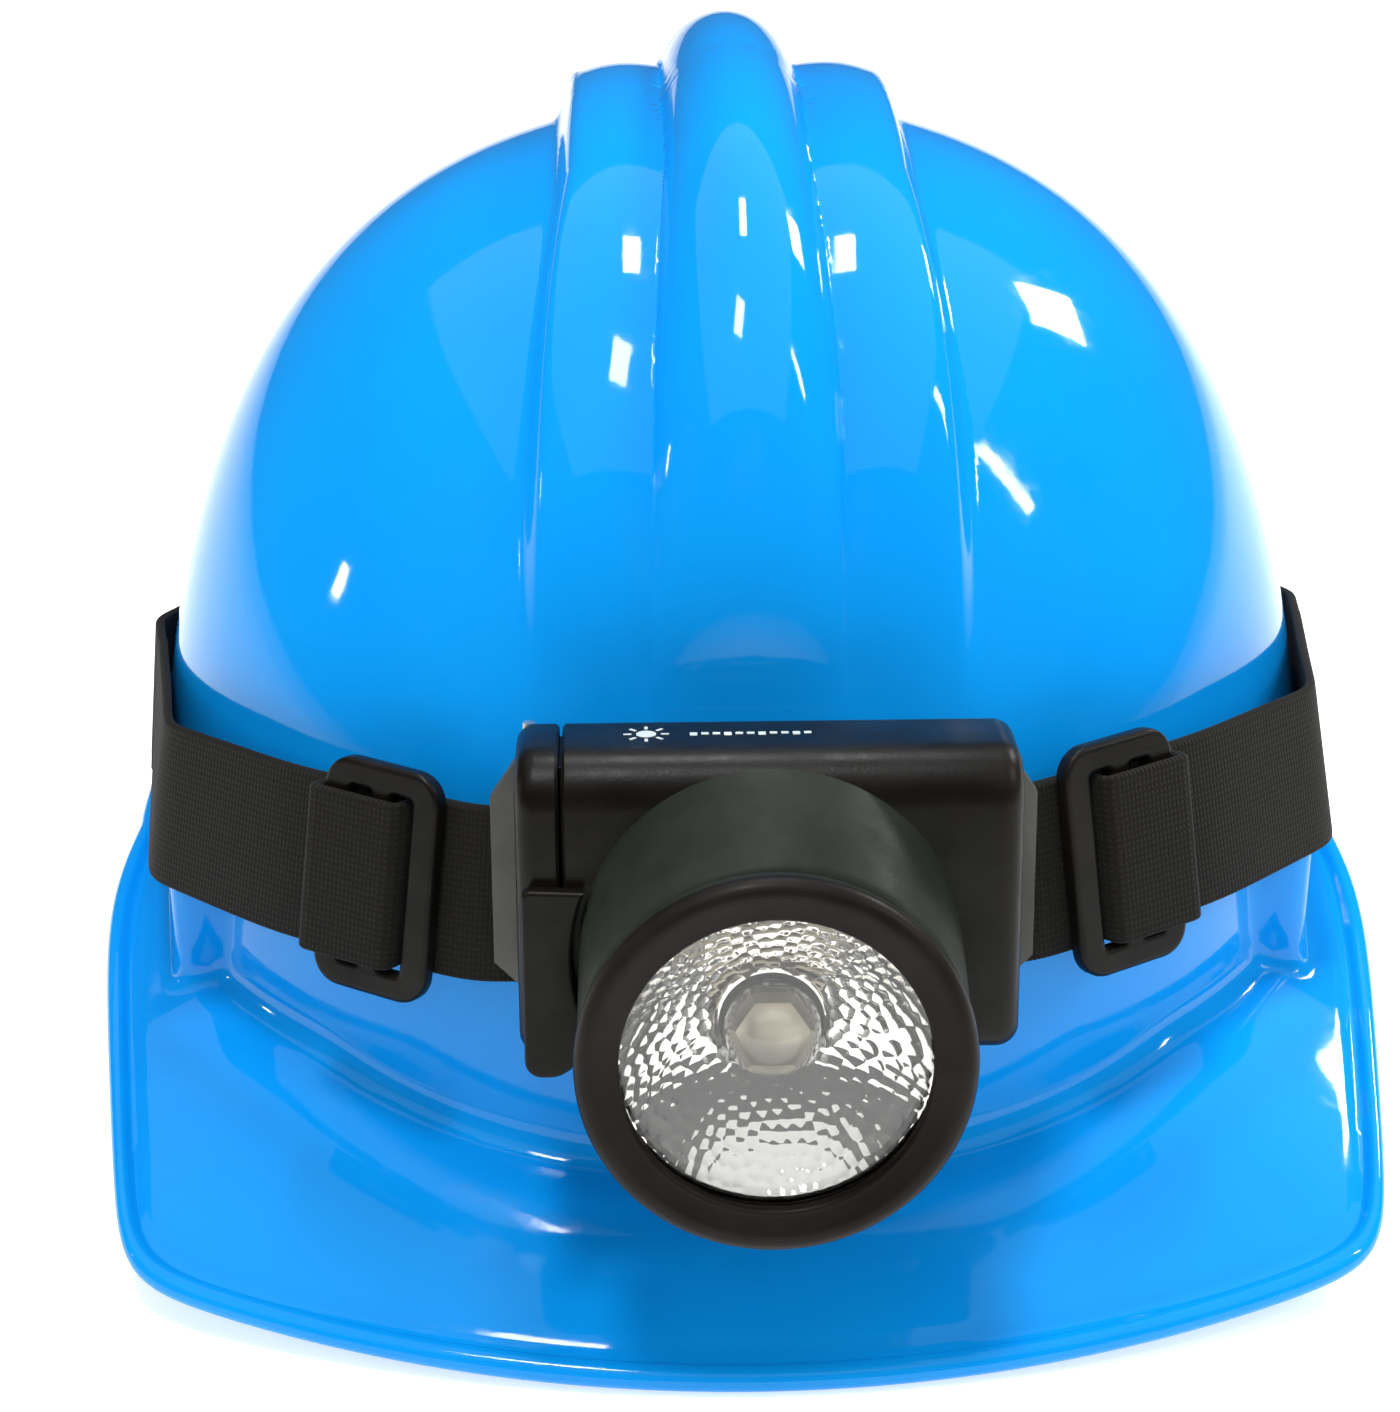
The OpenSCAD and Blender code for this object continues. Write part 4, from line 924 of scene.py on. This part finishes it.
# ---------- Camera, light and floor ----------
def camera():
    """The photographer's place, 0.43 m from the lamp and 25 degrees above it."""
    data = bpy.data.cameras.new("camera")
    data.lens, data.sensor_width, data.clip_start = CAMERA_LENS, 36.0, 0.01
    obj = bpy.data.objects.new("camera", data)
    turn = Matrix.Rotation(math.radians(CAMERA_TURN), 4, "Z")
    turn = turn @ Matrix.Rotation(math.radians(90 - CAMERA_TILT), 4, "X")
    turn = turn @ Matrix.Rotation(math.radians(CAMERA_ROLL), 4, "Z")
    x, y, z = CAMERA_PLACE
    obj.matrix_world = Matrix.Translation(Vector((x, HAT.translation.y + y, z))) @ turn
    bpy.context.scene.collection.objects.link(obj)
    bpy.context.scene.camera = obj


def area_light(name, place, size, power, glossy=True):
    """A soft rectangular light that looks at the hat; one that isn't glossy never shows in reflections."""
    data = bpy.data.lights.new(name, "AREA")
    data.shape, data.size, data.size_y = "RECTANGLE", *size
    data.energy = power
    obj = bpy.data.objects.new(name, data)
    aim = (Vector(LIGHT_TARGET) - Vector(place)).to_track_quat("-Z", "Y")
    obj.matrix_world = Matrix.Translation(Vector(place)) @ aim.to_matrix().to_4x4()
    obj.visible_glossy = glossy
    obj.visible_transmission = glossy
    bpy.context.scene.collection.objects.link(obj)


def studio():
    """Pale floor, even room light, a big soft light overhead, soft fills and small window-like panels."""
    world = bpy.data.worlds.new("room")
    world.use_nodes = True
    background = world.node_tree.nodes["Background"]
    background.inputs["Color"].default_value = (0.93, 0.97, 1.0, 1)
    background.inputs["Strength"].default_value = ROOM_STRENGTH
    bpy.context.scene.world = world
    bpy.ops.mesh.primitive_plane_add(size=8, location=(0, 0, 0))
    floor = bpy.context.object
    floor.name = "floor"
    paper = material("paper", (0.9, 0.9, 0.885), 0.9)
    shader = paper.node_tree.nodes["Principled BSDF"]
    shader.inputs["Emission Color"].default_value = (1, 1, 0.98, 1)
    shader.inputs["Emission Strength"].default_value = FLOOR_GLOW
    floor.data.materials.append(paper)
    area_light("overhead", (0, 0, 1.6), (3.2, 3.2), 23)
    area_light("left_fill", (-1.2, -0.5, 0.7), (0.8, 0.8), 3.6, glossy=False)
    area_light("right_fill", (1.2, -0.5, 0.7), (0.8, 0.8), 3.6, glossy=False)
    area_light("front_fill", (0, -1.4, 0.9), (0.8, 0.5), 4, glossy=False)
    for name, azimuth, elevation, width, height, power in PANELS:
        a, e = math.radians(azimuth), math.radians(elevation)
        away = Vector((math.sin(a) * math.cos(e), -math.cos(a) * math.cos(e), math.sin(e)))
        area_light(name, Vector(LIGHT_TARGET) + away * PANEL_DISTANCE, (width, height), power)
    scene = bpy.context.scene
    scene.view_settings.view_transform = "Standard"
    scene.view_settings.look = "None"


# ---------- Build ----------
camera()
studio()

BLACK = moulded("black_plastic", (0.0042, 0.0036, 0.003), 0.34, Specular_IOR_Level=0.14)
PLATE = moulded("plate_plastic", (0.05, 0.048, 0.04), 0.5)
BULB_METAL = metal("bulb_metal", (0.32, 0.29, 0.22), 0.4)
CHARCOAL = moulded("charcoal_plastic", (0.0145, 0.0175, 0.0135), 0.46, grain=1900.0, Specular_IOR_Level=0.1)
RUBBER = moulded("black_rubber", (0.0048, 0.0034, 0.0026), 0.42, 1200.0, 0.00003, Specular_IOR_Level=0.13)
WEBBING = woven("lamp_webbing", (0.006, 0.0054, 0.004), (0.015, 0.0138, 0.0102), rib=0.0008, pitch=0.001)
HEAD_WEBBING = woven("head_webbing", (0.02, 0.02, 0.022), (0.06, 0.06, 0.065), rib=0.0014, pitch=0.0018)
FOAM = foam_cloth()
STEEL = metal("steel", (0.62, 0.61, 0.58), 0.28)
MIRROR = metal("mirror_plating", (0.93, 0.92, 0.88), 0.045)
GLASS = clear_plastic("clear", (1, 1, 1), 0.0)
BAND_PLASTIC = moulded("band_plastic", (0.02, 0.02, 0.022), 0.45)
KEY_PLASTIC = moulded("key_plastic", (0.62, 0.62, 0.58), 0.4)
SOCKET = moulded("socket_plastic", (0.72, 0.68, 0.55), 0.45)
JACKET = battery_jacket()
PRINT = moulded("print_ink", (0.5, 0.56, 0.55), 0.5)

hat_shell()
right = BUCKLE_ANGLE
parting = math.radians(0.02)
webbing("front_webbing", -math.pi - right, right, 160, WEBBING, "strap_front")
webbing("rear_webbing", right + parting, math.pi - right - parting, 420, WEBBING, "strap_rear")
for side, word in ((-1, "left"), (1, "right")):
    buckle(word, side, BLACK)
    fold(word, side, WEBBING)
back_plate(PLATE)
lamp_body(BLACK)
tilt_ears(BLACK)
battery_door(BLACK)
door_latch(BLACK)
lamp_hood(CHARCOAL)
focus_bezel(CHARCOAL)
bezel_lip(RUBBER)
lens(GLASS)
reflector(MIRROR)
bulb(GLASS, BULB_METAL)
mark(PRINT)
brow_pad(FOAM)
nape_pad(FOAM)
crown_pad(FOAM)
crown_strap("crown_webbing_long", 38, 96, HEAD_WEBBING, "crown_strap_long")
crown_strap("crown_webbing_cross", 142, 94, HEAD_WEBBING, "crown_strap_cross")

for node, finish, bevel in (
    ("headband", BAND_PLASTIC, 0.5), ("suspension_keys", KEY_PLASTIC, 0.8),
    ("ratchet_housing", BAND_PLASTIC, 0.8), ("ratchet_knob", BAND_PLASTIC, 0.5),
    ("ratchet_pinion", KEY_PLASTIC, 0.15), ("rack_left", KEY_PLASTIC, 0.2),
    ("rack_right", KEY_PLASTIC, 0.2), ("tilt_pins", STEEL, 0.2),
    ("hood_screws", STEEL, 0.2), ("door_seal", RUBBER, 0.3),
    ("door_pin", STEEL, 0.2), ("latch_pin", STEEL, 0.25), ("battery_top", JACKET, 0.5),
    ("battery_middle", JACKET, 0.5), ("battery_bottom", JACKET, 0.5), ("contact_springs", STEEL, 0.0),
    ("contact_plate", STEEL, 0.1), ("bulb_socket", SOCKET, 0.4), ("lens_seal", RUBBER, 0.0),
):
    keep(node, finish, bevel)
